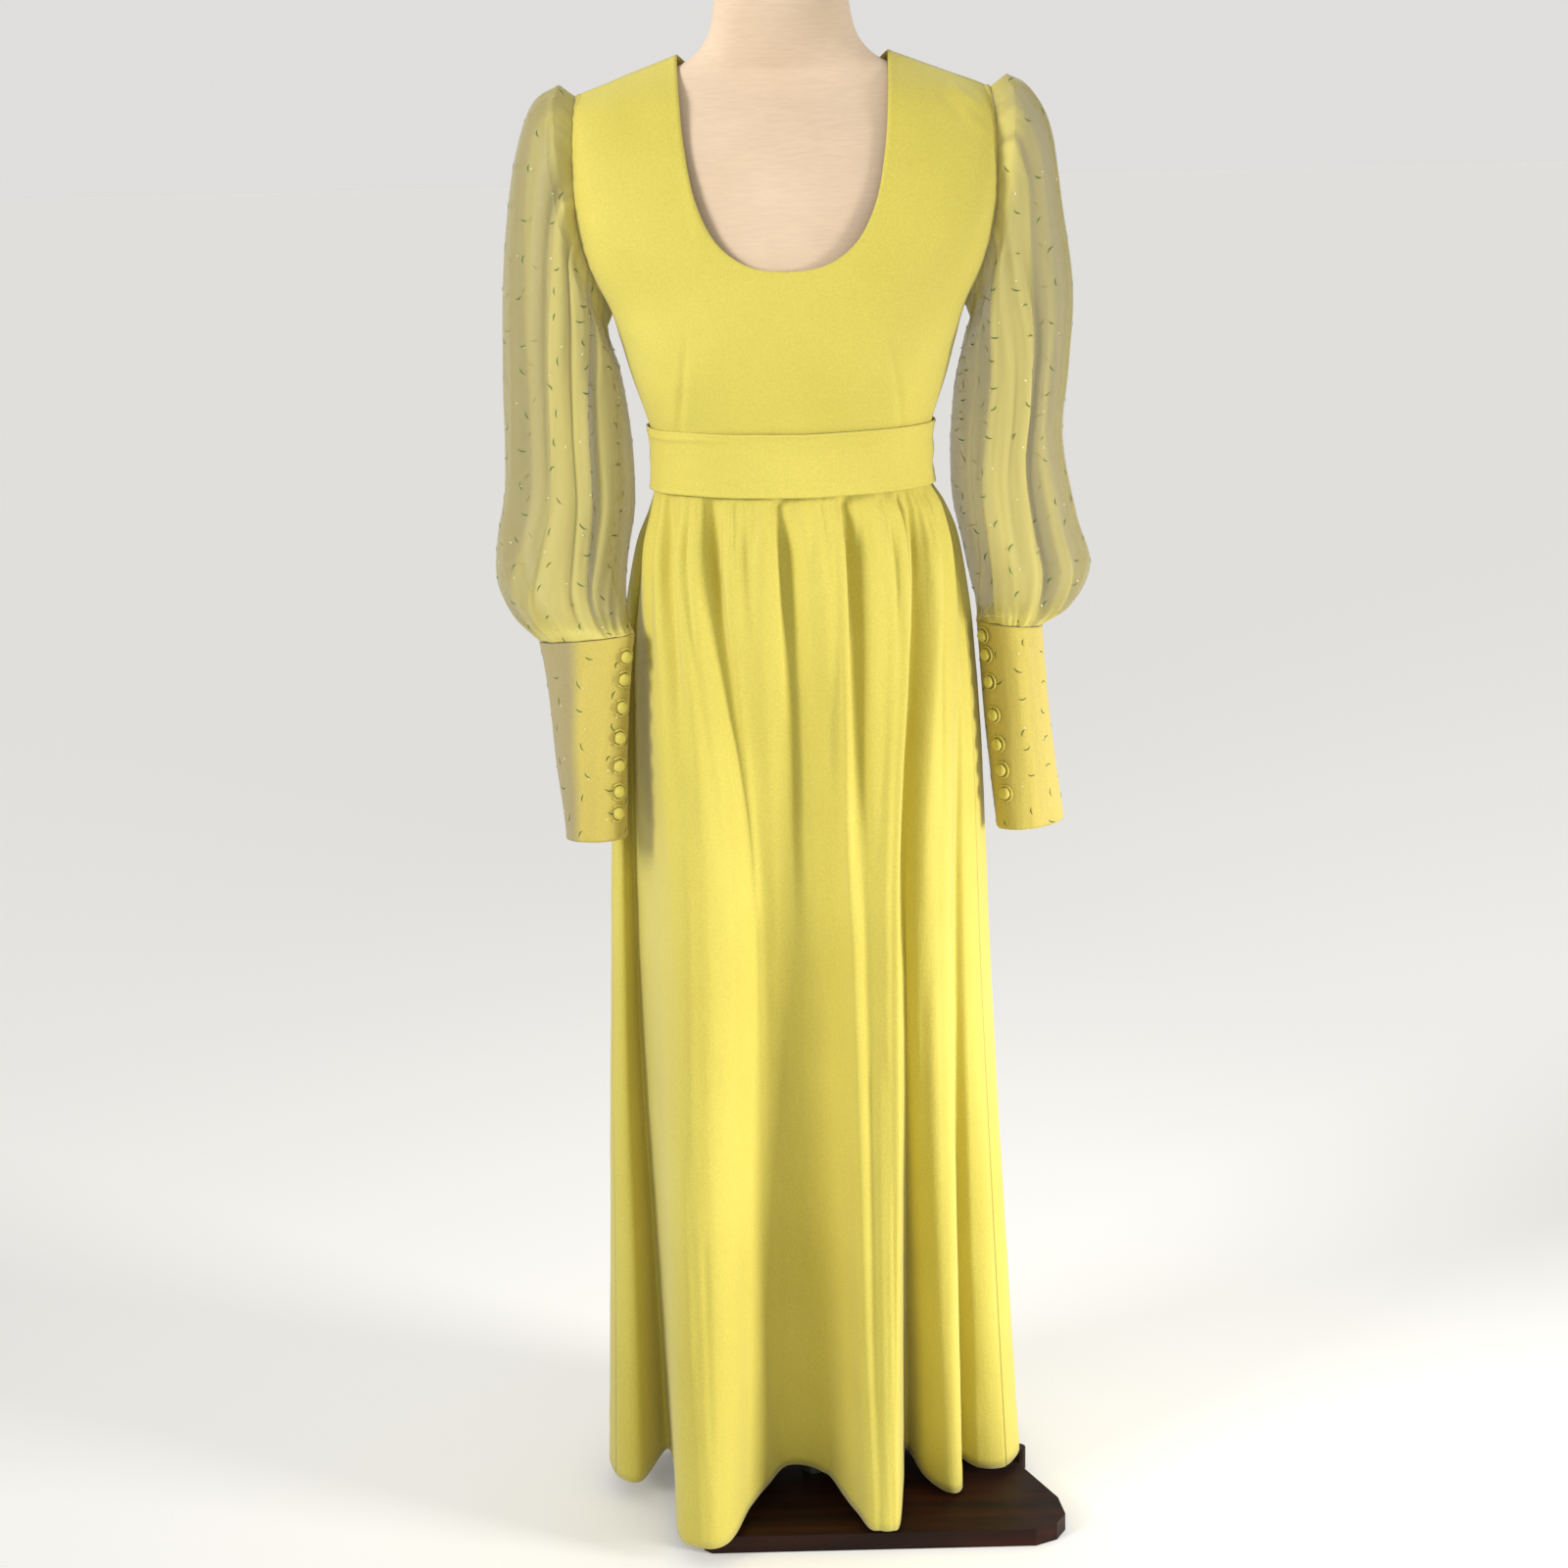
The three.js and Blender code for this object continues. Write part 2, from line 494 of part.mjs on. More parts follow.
const frontHalf = halfPanel(FRONT_MIDDLE, "front", -1, 0);
const backHalf = halfPanel(BACK_MIDDLE, "back", 1, SEAM / 2);
add("bodice_front", wall(joined(frontHalf, mirrored(frontHalf)), CREPE, true), crepe());
add("bodice_back_left", wall(mirrored(backHalf), CREPE, true), crepe());
add("bodice_back_right", wall(backHalf, CREPE, true), crepe());

// ---- Skirt ----
// Bearing and places of the cloth at row t of SKIRT_FOLDS, once round.
function foldAt(t) {
  const row = Math.floor(t) % SKIRT_FOLDS.length;
  const here = SKIRT_FOLDS[row].at;
  const step = turnBetween(SKIRT_FOLDS[(row + 1) % SKIRT_FOLDS.length].at, here);
  const fold = { bearing: here + step * (t - Math.floor(t)) };
  for (const key of ["kneeX", "kneeY", "hemX", "hemY", "lift"]) {
    fold[key] = smooth(SKIRT_FOLDS, key, t, true);
  }
  return fold;
}

// Point of an oval with its own front and back depths, at a bearing from the front.
function ovalPoint(side, front, back, bearing) {
  const angle = radians(bearing);
  const depth = Math.cos(angle) > 0 ? front : back;
  return { x: side * Math.sin(angle), y: -depth * Math.cos(angle) };
}

// How far the small gathers draw the cloth in, at a bearing and a height.
function gatherDepth(bearing, z) {
  let depth = 0;
  for (const gather of GATHERS) {
    const turned = turnBetween(bearing, gather.at);
    const off = turned / gather.width / (turned < 0 ? GATHER_STEEP : GATHER_SOFT);
    const grown = mix(0.22, 1, 1 - ease(z, 985, SASH_BOTTOM + 6));
    depth += gather.depth * grown * ease(z, gather.ends, 1000) * Math.exp(-off * off);
  }
  return depth;
}

// The skirt's smooth body at a bearing and a row of SKIRT_BODY.
function bodyPoint(bearing, row) {
  const body = (key) => smooth(SKIRT_BODY, key, row);
  const side = Math.sin(radians(bearing)) > 0 ? body("right") : body("left");
  return ovalPoint(side, body("front"), body("back"), bearing);
}

// Row of SKIRT_BODY at the knee, between the two rows around it.
const ABOVE_KNEE = SKIRT_BODY.findIndex((row) => row.z < KNEE) - 1;
const KNEE_SPAN = SKIRT_BODY[ABOVE_KNEE].z - SKIRT_BODY[ABOVE_KNEE + 1].z;
const KNEE_ROW = ABOVE_KNEE + (SKIRT_BODY[ABOVE_KNEE].z - KNEE) / KNEE_SPAN;

// A point of the skirt: the smooth body, drawn in by gathers and swung to the folds.
function skirtPoint(t, row) {
  const fold = foldAt(t);
  const z = smooth(SKIRT_BODY, "z", row);
  const toKnee = smooth(SKIRT_BODY, "knee", row);
  const toHem = smooth(SKIRT_BODY, "hem", row);
  const here = bodyPoint(fold.bearing, row);
  const knee = bodyPoint(fold.bearing, KNEE_ROW);
  const hem = bodyPoint(fold.bearing, SKIRT_BODY.length - 1);
  const inward = 1 - gatherDepth(fold.bearing, z) / Math.hypot(here.x, here.y);
  const x = here.x * inward + (fold.kneeX - knee.x) * toKnee + (fold.hemX - hem.x) * toHem;
  const y = here.y * inward + (fold.kneeY - knee.y) * toKnee + (fold.hemY - hem.y) * toHem;
  const fall = (WAIST - z) / (WAIST - HEM);
  return new THREE.Vector3(x, y, z - SEAM + fold.lift * fall ** 3);
}

// Panels run from one row of SKIRT_FOLDS to another, with the seams half a gap in.
const STEPS_PER_FOLD_ROW = 3;
function skirtPanel(from, to) {
  const steps = (to - from) * STEPS_PER_FOLD_ROW;
  const inset = 0.012; // share of a row that half the seam's gap takes
  const grid = [];
  for (let row = SKIRT_BODY.length - 1; row >= 0; row -= 1) {
    const line = [];
    for (let step = 0; step <= steps; step += 1) {
      const t = mix(from + inset, to - inset, step / steps);
      line.push(skirtPoint(t % SKIRT_FOLDS.length, row));
    }
    grid.push(line);
  }
  return surfaceFromGrid(grid, false);
}

const RIGHT_SIDE_ROW = SKIRT_FOLDS.findIndex((row) => row.at === 89);
const CENTRE_BACK_ROW = SKIRT_FOLDS.findIndex((row) => row.at === 178);
const LEFT_SIDE_ROW = SKIRT_FOLDS.findIndex((row) => row.at === 264);
const ONCE_ROUND = SKIRT_FOLDS.length;
const frontSkirt = skirtPanel(LEFT_SIDE_ROW, RIGHT_SIDE_ROW + ONCE_ROUND);
add("skirt_front", wall(frontSkirt, CREPE), crepe());
add("skirt_back_right", wall(skirtPanel(RIGHT_SIDE_ROW, CENTRE_BACK_ROW), CREPE), crepe());
add("skirt_back_left", wall(skirtPanel(CENTRE_BACK_ROW, LEFT_SIDE_ROW), CREPE), crepe());

// ---- Sleeves and cuffs ----
// Point of a sleeve ring. turn is 0 at the outer edge, 90 at the front and 180 at
// the inner edge.
function ringPoint(ring, turn, drawn = 0) {
  const angle = radians(turn);
  const outer = new THREE.Vector3(ring.ox, ring.oy, ring.oz);
  const inner = new THREE.Vector3(ring.ix, ring.iy, ring.iz);
  const middle = outer.clone().add(inner).multiplyScalar(0.5);
  const chord = outer.clone().sub(middle);
  const flat = Math.hypot(chord.x, chord.y);
  const hand = Math.sign(chord.x);
  const forward = new THREE.Vector3((hand * chord.y) / flat, (-hand * chord.x) / flat, 0);
  const out = chord.clone().multiplyScalar(Math.cos(angle));
  out.addScaledVector(forward, ring.depth * Math.sin(angle));
  const kept = 1 - drawn / out.length();
  middle.x += hand * ring.bow * Math.abs(Math.sin(angle));
  return middle.addScaledVector(out, kept);
}

// Point of the armhole seam, moved out clear of the bodice's edge.
function armholePoint(turn, hand) {
  const rows = SHOULDER_ROW - ARMPIT_ROW;
  const around = Math.abs(turnBetween(turn, 0)) / 180;
  const t = SHOULDER_ROW - around * rows;
  const key = turn < 180 ? "front" : "back";
  const side = turn < 180 ? -1 : 1;
  const off = SEAM + (CREPE + SHEER) / 2.4;
  const x = hand * (smooth(EDGE, "x", t) + off);
  const y = side * Math.max(0, smooth(EDGE, key, t));
  return new THREE.Vector3(x, y, smooth(EDGE, "z", t));
}

// How far the folds draw a sleeve in, at a turn round its ring and a row of its table.
function sleeveFold(folds, turn, row, lastRow) {
  let depth = 0;
  for (const fold of folds) {
    const upper = mix(fold.cap, fold.middle, ease(row, 0, SLEEVE_MIDDLE));
    const at = mix(upper, fold.cuff, ease(row, SLEEVE_MIDDLE, lastRow));
    const off = turnBetween(turn, at) / fold.width;
    const span = ease(row, fold.from, fold.from + 2) * (1 - ease(row, fold.to - 1.5, fold.to));
    depth += fold.depth * span * Math.exp(-off * off);
  }
  return depth;
}

function sleevePucker(turn, row, lastRow) {
  const near = Math.max(1 - ease(row, 0.5, 3), ease(row, lastRow - 2, lastRow - 0.5));
  return PUCKER_DEPTH * near * (0.5 - 0.5 * Math.cos(radians(turn * SLEEVE_PUCKERS)));
}

function sleeve(rings, folds, hand) {
  const grid = [];
  for (let row = rings.length; row >= 0; row -= 1) {
    const line = [];
    for (let column = 0; column < SLEEVE_COLUMNS; column += 1) {
      const turn = (column / SLEEVE_COLUMNS) * 360;
      const folded = sleeveFold(folds, turn, row, rings.length);
      const drawn = folded + sleevePucker(turn, row, rings.length);
      if (row === 0) line.push(armholePoint(turn, hand));
      else line.push(ringPoint(rings[row - 1], turn, drawn));
    }
    grid.push(hand < 0 ? line : line.reverse());
  }
  return surfaceFromGrid(grid, true);
}

function cuff(rings, hand) {
  const grid = [];
  for (let row = rings.length - 1; row >= 0; row -= 1) {
    const line = [];
    for (let column = 0; column < CUFF_COLUMNS; column += 1) {
      const turn = (column / CUFF_COLUMNS) * 360;
      const drop = row === 0 ? SEAM + CREPE / 2 : 0;
      const point = ringPoint(rings[row], turn, DOUBLED / 2);
      point.z -= drop;
      line.push(point);
    }
    grid.push(hand < 0 ? line : line.reverse());
  }
  return surfaceFromGrid(grid, true);
}

// ---- Buttons and their loops ----
// Rows of the cuff's table, and turns round its ring, of the first and the last button.
const BUTTON_SPAN = {
  left: { top: 0.5, low: 3.3, topTurn: 169, lowTurn: 173 },
  right: { top: 0.35, low: 3.15, topTurn: 178, lowTurn: 153 },
};

// Place of a button's foot on the cuff, with the directions sideways, up and out.
function buttonPlace(rings, span, number) {
  const share = number / (BUTTON.count - 1);
  const t = mix(span.top, span.low, share);
  const turn = mix(span.topTurn, span.lowTurn, share);
  const ringAt = (row) => {
    const ring = {};
    for (const key of Object.keys(rings[0])) ring[key] = smooth(rings, key, row);
    return ring;
  };
  const middle = ringPoint(ringAt(t), turn);
  const above = ringPoint(ringAt(t - 0.1), turn).sub(middle).normalize();
  const ahead = ringPoint(ringAt(t), turn + 4).sub(middle).normalize();
  const out = ahead.clone().cross(above).normalize();
  const centre = ringPoint(ringAt(t), 90).add(ringPoint(ringAt(t), 270)).multiplyScalar(0.5);
  if (out.dot(middle.clone().sub(centre)) < 0) out.negate();
  const side = above.clone().cross(out).normalize();
  return { middle, basis: new THREE.Matrix4().makeBasis(side, above, out) };
}

// A domed button, standing on z = 0.
function buttonGeometry() {
  const { radius, height } = BUTTON;
  const profile = [
    new THREE.Vector2(0, 0),
    new THREE.Vector2(radius * 0.55, 0),
    new THREE.Vector2(radius, height * 0.3),
    new THREE.Vector2(radius * 0.86, height * 0.68),
    new THREE.Vector2(radius * 0.45, height * 0.93),
    new THREE.Vector2(0, height),
  ];
  return new THREE.LatheGeometry(profile, 8).rotateX(Math.PI / 2);
}

// A cord loop bent round the button's foot, open towards the cuff's edge.
function loopGeometry() {
  const points = [];
  for (let step = 0; step <= LOOP.steps; step += 1) {
    const angle = mix(radians(-128), radians(128), step / LOOP.steps);
    const x = LOOP.reach * Math.cos(angle);
    const y = LOOP.reach * Math.sin(angle);
    points.push(new THREE.Vector3(x, y, LOOP.cord / 2));
  }
  const path = new THREE.CatmullRomCurve3(points);
  const section = new THREE.Shape();
  for (let side = 0; side < LOOP.sides; side += 1) {
    const angle = (side / LOOP.sides) * 2 * Math.PI;
    const [x, y] = [(LOOP.cord / 2) * Math.cos(angle), (LOOP.cord / 2) * Math.sin(angle)];
    if (side === 0) section.moveTo(x, y);
    else section.lineTo(x, y);
  }
  return new THREE.ExtrudeGeometry(section, { steps: LOOP.steps, extrudePath: path });
}

function fasten(name, rings) {
  for (let number = 0; number < BUTTON.count; number += 1) {
    const place = buttonPlace(rings, BUTTON_SPAN[name], number);
    const out = new THREE.Vector3().setFromMatrixColumn(place.basis, 2);
    const foot = place.middle.clone().addScaledVector(out, SEAM);
    for (const [kind, geometry] of [["button", buttonGeometry()], ["loop", loopGeometry()]]) {
      const mesh = add(`${kind}_${name}_${number + 1}`, geometry, crepe());
      mesh.setRotationFromMatrix(place.basis);
      mesh.position.copy(foot);
    }
  }
}

add("sleeve_left", wall(sleeve(LEFT_SLEEVE, LEFT_FOLDS, -1), SHEER), sheer());
add("sleeve_right", wall(sleeve(RIGHT_SLEEVE, RIGHT_FOLDS, 1), SHEER), sheer());
add("cuff_left", wall(cuff(LEFT_CUFF, -1), DOUBLED), crepe());
add("cuff_right", wall(cuff(RIGHT_CUFF, 1), DOUBLED), crepe());
fasten("left", LEFT_CUFF);
fasten("right", RIGHT_CUFF);

// ---- Sash, over the waist seam ----
function sash() {
  const grid = SASH.map(({ z, side, front, back }) => {
    const line = [];
    for (let column = 0; column < SASH_COLUMNS; column += 1) {
      const { x, y } = ovalPoint(side, front, back, (column / SASH_COLUMNS) * 360);
      line.push(new THREE.Vector3(x, y, z));
    }
    return line;
  });
  return surfaceFromGrid(grid, true);
}
add("sash", wall(sash(), DOUBLED), crepe());

// ---- Dress form and stand ----
function formRing(ring) {
  const line = [];
  for (let column = 0; column < FORM_COLUMNS; column += 1) {
    const bearing = (column / FORM_COLUMNS) * 360;
    const { x, y } = ovalPoint(ring.side, ring.front, ring.back, bearing);
    line.push(new THREE.Vector3(x, y + ring.lean, ring.z));
  }
  return line;
}
add("dress_form", solidThroughRings(FORM.map(formRing)), linen());

const poleHeight = FORM[0].z - BASE_THICKNESS - 2 * SEAM;
const pole = new THREE.CylinderGeometry(POLE_RADIUS, POLE_RADIUS, poleHeight, 20);
pole.rotateX(Math.PI / 2);
add("stand_pole", pole, steel()).position.z = BASE_THICKNESS + SEAM + poleHeight / 2;

const outline = new THREE.Shape(BASE_OUTLINE.map((corner) => new THREE.Vector2(corner.x, corner.y)));
const board = new THREE.ExtrudeGeometry(outline, { depth: BASE_THICKNESS, bevelEnabled: false });
add("stand_base", board, wood());

const knob = new THREE.CylinderGeometry(BASE_KNOB.radius, BASE_KNOB.radius, BASE_KNOB.height, 12);
knob.rotateX(Math.PI / 2);
const knobMesh = add("stand_knob", knob, wood());
knobMesh.position.set(BASE_KNOB.x, BASE_KNOB.y, BASE_KNOB.height / 2);

export default dress;
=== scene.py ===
import math
import random

import bmesh
import bpy
import numpy as np
from mathutils import Matrix, Vector, noise


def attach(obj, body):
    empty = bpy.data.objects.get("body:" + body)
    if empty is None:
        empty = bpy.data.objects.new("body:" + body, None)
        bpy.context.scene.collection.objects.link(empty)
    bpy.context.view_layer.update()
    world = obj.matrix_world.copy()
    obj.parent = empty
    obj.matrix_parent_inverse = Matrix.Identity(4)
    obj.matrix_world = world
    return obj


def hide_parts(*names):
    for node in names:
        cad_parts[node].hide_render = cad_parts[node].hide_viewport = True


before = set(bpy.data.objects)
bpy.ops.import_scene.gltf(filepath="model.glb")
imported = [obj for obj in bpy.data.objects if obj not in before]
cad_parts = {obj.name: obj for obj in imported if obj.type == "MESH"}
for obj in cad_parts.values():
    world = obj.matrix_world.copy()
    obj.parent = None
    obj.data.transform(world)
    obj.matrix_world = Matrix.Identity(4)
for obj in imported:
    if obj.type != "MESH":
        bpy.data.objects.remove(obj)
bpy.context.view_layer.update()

# Sizes are in millimetres, as in the part's source, and METRE turns them into the frame's.
# Angles are in degrees: a bearing of 0 faces -Y and grows towards +X, and a turn of 0 is a sleeve's
# outer side and grows towards its front.
METRE = 0.001
WAIST = 1069
SASH_BOTTOM = 1040
SASH_TOP = 1098
BUST = 1175
HEM = 22
SEAM = 0.3
CREPE = 0.9
SHEER = 0.5
DOUBLED = 1.8
FULLNESS = 0.86
ARMPIT_ROW = 4
SHOULDER_ROW = 11
NECK_ROW = 5
NAPE_ROW = 8


def table(names, *rows):
    """A table with named columns."""
    return {name: np.array([row[i] for row in rows], float) for i, name in enumerate(names.split())}


def each(rows):
    """The rows of a table one by one, with their columns' names."""
    return [dict(zip(rows, values)) for values in zip(*rows.values())]


# Side seam and armhole of the bodice, and its middle line and neckline, at rows of the same number.
EDGE = table(
    "z x front back",
    (1069, 127, 0, 0), (1098, 131, 0, 0), (1135, 143, 0, 0), (1170, 153, 0, 0), (1203, 161, 0, 0),
    (1224, 170, 26, 24), (1252, 180, 38, 38), (1286, 187, 43, 46), (1321, 189, 42, 47),
    (1353, 189, 34, 40), (1379, 188, 20, 24), (1396, 187, 0, 0),
)
FRONT_MIDDLE = table(
    "x y z",
    (0, -88, 1069), (0, -95, 1098), (0, -107, 1135), (0, -115, 1170), (0, -114, 1206), (0, -106, 1242),
    (34, -105, 1247), (62, -99, 1267), (80, -88, 1302), (89, -70, 1348), (93, -47, 1393), (95, 0, 1430),
)
BACK_MIDDLE = table(
    "x y z",
    (0, 84, 1069), (0, 88, 1098), (0, 95, 1137), (0, 103, 1182), (0, 109, 1230), (0, 110, 1278),
    (0, 104, 1324), (0, 92, 1366), (0, 76, 1398), (44, 70, 1403), (78, 44, 1416), (95, 0, 1430),
)
# Ovals round the sash and the skirt. knee and hem are the shares that those outlines have.
SASH = table(
    "z side front back",
    (1040, 132.4, 94.4, 90.2), (1058, 131.4, 93.6, 89.0), (1079, 131.4, 94.2, 89.0),
    (1098, 133.4, 97.5, 90.5),
)
SKIRT_BODY = table(
    "z left right front back knee hem",
    (1069, 127, 127, 88, 84, 0, 0), (1040, 129.5, 130.3, 91, 87, 0, 0),
    (1018, 135, 143, 100, 97, 0.04, 0), (985, 146, 154, 111, 109, 0.13, 0),
    (930, 153, 162, 122, 121, 0.31, 0), (860, 158, 166, 128, 129, 0.53, 0),
    (780, 162, 168, 131, 133, 0.76, 0), (680, 165, 170, 131, 134, 0.95, 0),
    (560, 168, 172, 128, 133, 0.93, 0.08), (420, 172, 174, 123, 131, 0.69, 0.31),
    (280, 174, 176, 121, 130, 0.45, 0.55), (140, 177, 178, 120, 130, 0.2, 0.8),
    (22, 180, 180, 120, 130, 0, 1),
)
KNEE = 620
# Ridges and valleys of the skirt: the bearing at the waist and the place at the knee and hem.
SKIRT_FOLDS = table(
    "at knee_x knee_y hem_x hem_y lift",
    (0, 12, -98, 12, -56, 20), (10, 34, -108, 36, -98, 6), (19, 46, -124, 52, -129, 0),
    (26, 62, -118, 64, -134, 0), (37, 78, -126, 74, -136, 0), (46, 88, -120, 82, -124, 1),
    (50, 90, -96, 88, -60, 12), (55, 98, -84, 94, -14, 22), (60, 112, -90, 112, -44, 8),
    (66, 126, -92, 134, -66, 1), (72, 139, -80, 149, -56, 1), (77, 144, -48, 146, -10, 10),
    (82, 156, -44, 168, -26, 6), (89, 170, -28, 196, -20, 4), (98, 182, 12, 212, 20, 6),
    (108, 168, 44, 176, 50, 14), (118, 154, 74, 172, 92, 4), (127, 132, 104, 142, 132, 1),
    (137, 106, 106, 108, 112, 10), (146, 84, 96, 90, 74, 22), (157, 60, 120, 66, 120, 6),
    (167, 32, 136, 34, 150, 0), (178, 4, 128, 4, 128, 8), (189, -20, 108, -18, 76, 24),
    (200, -46, 120, -50, 116, 6), (212, -78, 128, -86, 146, 0), (224, -102, 108, -114, 118, 8),
    (234, -120, 84, -126, 78, 18), (243, -142, 84, -158, 108, 4), (250, -160, 66, -190, 92, 1),
    (255, -168, 46, -180, 62, 8), (260, -186, 26, -212, 34, 6), (264, -184, -2, -204, -14, 2),
    (267, -174, -14, -178, -28, 1), (270, -162, 0, -152, 14, 14), (274, -150, -40, -143, -40, 8),
    (279, -133, -96, -137, -132, 1), (291, -116, -130, -116, -158, 0), (307, -88, -138, -88, -152, 0),
    (320, -62, -122, -66, -100, 8), (329, -46, -104, -46, -66, 18), (344, -22, -96, -24, -50, 28),
)
RIGHT_SIDE_ROW = 13
CENTRE_BACK_ROW = 22
LEFT_SIDE_ROW = 32
# Valleys under the sash, down to the height where each ends.
GATHERS = table(
    "at width depth ends",
    (-4, 6, 14, 480), (22.5, 5, 16, 600), (40, 3, 6, 860), (52, 4.5, 14, 500), (69, 4.5, 10, 720),
    (84, 4.5, 9, 760), (103, 5, 12, 640), (119, 5, 11, 760), (136, 5, 14, 600), (151, 4.5, 11, 740),
    (169, 5.5, 14, 640), (186, 5, 12, 640), (203, 5, 11, 780), (219, 5, 14, 640), (237, 5, 12, 700),
    (253, 4.5, 9, 760), (269, 4, 7, 840), (284, 4, 9, 760), (298, 5, 15, 680), (312, 3, 6, 860),
    (324, 5, 16, 500), (341, 4, 5, 860),
)
# Rings of the sleeves and cuffs: an outer and an inner point, and the depth in front and behind.
LEFT_SLEEVE = table(
    "ox oy oz ix iy iz depth bow",
    (-202, 0, 1406, -167, 0, 1188, 56, 14), (-226, 2, 1391, -164, 2, 1169, 61, 8),
    (-245, 4, 1344, -158, 4, 1150, 60, 3), (-257, 6, 1283, -154, 6, 1130, 57, 0),
    (-264, 8, 1215, -151, 8, 1105, 54, 0), (-267, 8, 1132, -149, 8, 1070, 50, 0),
    (-270, 6, 1045, -150, 8, 1022, 48, 0), (-279, 0, 994, -157, -2, 980, 50, 0),
    (-279, -6, 956, -160, -28, 944, 46, 0), (-264, -10, 926, -156, -52, 922, 36, 0),
    (-239, -16, 900, -152, -72, 914, 27, 0),
)
RIGHT_SLEEVE = table(
    "ox oy oz ix iy iz depth bow",
    (202, 0, 1406, 167, 0, 1188, 56, 14), (221, 2, 1395, 164, 2, 1169, 61, 8),
    (240, 4, 1362, 158, 4, 1150, 60, 3), (252, 6, 1296, 154, 6, 1130, 57, 0),
    (263, 8, 1215, 151, 8, 1105, 54, 0), (259, 10, 1140, 149, 10, 1070, 50, 0),
    (254, 12, 1076, 151, 12, 1022, 48, 0), (267, 12, 1004, 160, 8, 980, 50, 0),
    (280, 14, 956, 168, 2, 944, 48, 0), (262, 16, 920, 174, -6, 920, 42, 0),
    (230, 18, 900, 177, -12, 906, 34, 0),
)
LEFT_CUFF = table(
    "ox oy oz ix iy iz depth bow",
    (-239, -16, 900, -152, -72, 914, 27, 0), (-232, -22, 862, -158, -77, 872, 27, 0),
    (-225, -31, 806, -164, -86, 814, 27, 0), (-219, -40, 757, -167, -92, 762, 26, 0),
    (-213, -46, 718, -170, -96, 724, 26, 0),
)
RIGHT_CUFF = table(
    "ox oy oz ix iy iz depth bow",
    (230, 18, 900, 177, -12, 906, 34, 0), (233, 18, 862, 180, -12, 866, 33, 0),
    (240, 18, 801, 184, -13, 801, 31, 0), (248, 17, 748, 188, -14, 748, 28, 0),
    (254, 16, 708, 192, -14, 704, 26, 0),
)
# Valleys down the sleeves: their turn at the cap, middle and cuff, from row start to row end.
LEFT_FOLDS = table(
    "cap middle cuff width depth start end",
    (40, 56, 50, 8, 3, 1, 9), (84, 74, 76, 7, 5, 0, 10), (104, 98, 119, 6, 7, 0, 10.5),
    (136, 120, 137, 9, 8, 0, 10), (162, 154, 160, 8, 4, 4, 11), (214, 222, 208, 9, 6, 0, 10),
    (246, 255, 240, 7, 7, 0, 10.5), (275, 272, 282, 8, 5, 1, 10), (318, 305, 312, 9, 4, 1, 9),
)
RIGHT_FOLDS = table(
    "cap middle cuff width depth start end",
    (62, 50, 40, 8, 6, 1, 7.5), (98, 68, 96, 7, 8, 2.5, 10.5), (108, 90, 118, 6, 4, 1, 9),
    (120, 123, 162, 8, 7, 0, 10.5), (214, 226, 204, 9, 6, 0, 10), (244, 252, 236, 7, 7, 0, 10.5),
    (280, 270, 276, 8, 5, 1, 10), (312, 304, 318, 9, 5, 1, 9),
)
SLEEVE_MIDDLE = 6
# Ovals of the dress form.
FORM = table(
    "z side front back lean",
    (788, 124, 75, 81, 0), (792, 136, 84, 91, 0), (812, 141, 88, 96, 0), (860, 142, 90, 97, 0),
    (920, 135, 89, 92, 0), (980, 125, 85, 84, 0), (1035, 120, 82, 79, 0), (1070, 119, 81, 78, 0),
    (1110, 126, 92, 84, 0), (1150, 136, 104, 92, 0), (1190, 147, 110, 100, 0), (1230, 154, 105, 104, 0),
    (1270, 160, 97, 105, 0), (1310, 164, 89, 101, 0), (1345, 166, 76, 90, 0), (1372, 165, 62, 77, 0),
    (1390, 159, 49, 66, 0), (1403, 138, 41, 57, 0), (1414, 109, 37.5, 49, 0), (1426, 84, 41, 46, -1),
    (1444, 68, 46, 48, -3), (1470, 61, 51, 50, -7), (1497, 59, 52, 50, -10), (1503, 53, 46, 44, -10),
)


# ---- Working out shapes ----
def mix(a, b, share):
    return a + (b - a) * share


def ease(value, low, high):
    share = np.clip((np.asarray(value, float) - low) / (high - low), 0, 1)
    return share * share * (3 - 2 * share)


def turn_between(a, b):
    return (np.asarray(a, float) - b + 540) % 360 - 180


def bell(off):
    return np.exp(-off * off)


def smooth(rows, key, t, closed=False, before=None):
    """Catmull-Rom value of a column at row number t. before is what comes ahead of its first row."""
    v = rows[key]
    t = np.asarray(t, float)
    if closed:
        v = np.concatenate([v[-1:], v, v[:2]])
        row = np.clip(np.floor(t).astype(int), 0, len(rows[key]) - 1)
    else:
        first = 2 * v[0] - v[1] if before is None else before
        v = np.concatenate([[first], v, [2 * v[-1] - v[-2]]])
        row = np.clip(np.floor(t).astype(int), 0, len(rows[key]) - 2)
    share = t - row
    a, b, c, d = v[row], v[row + 1], v[row + 2], v[row + 3]
    bend = 2 * a - 5 * b + 4 * c - d
    twist = 3 * (b - c) + d - a
    return b + 0.5 * share * (c - a + share * (bend + share * twist))


def cornered(rows, key, t, corner):
    """A panel's middle, which turns from the centre line into the neckline at one row."""
    low = {key: rows[key][: corner + 1]}
    high = {key: rows[key][corner:]}
    ahead = -high[key][1] if key == "x" else high[key][1]
    below = smooth(low, key, np.minimum(t, corner))
    above = smooth(high, key, np.maximum(t - corner, 0), before=ahead)
    return np.where(t <= corner, below, above)


def oval_point(side, front, back, bearing):
    angle = np.radians(bearing)
    depth = np.where(np.cos(angle) > 0, front, back)
    return side * np.sin(angle), -depth * np.cos(angle)


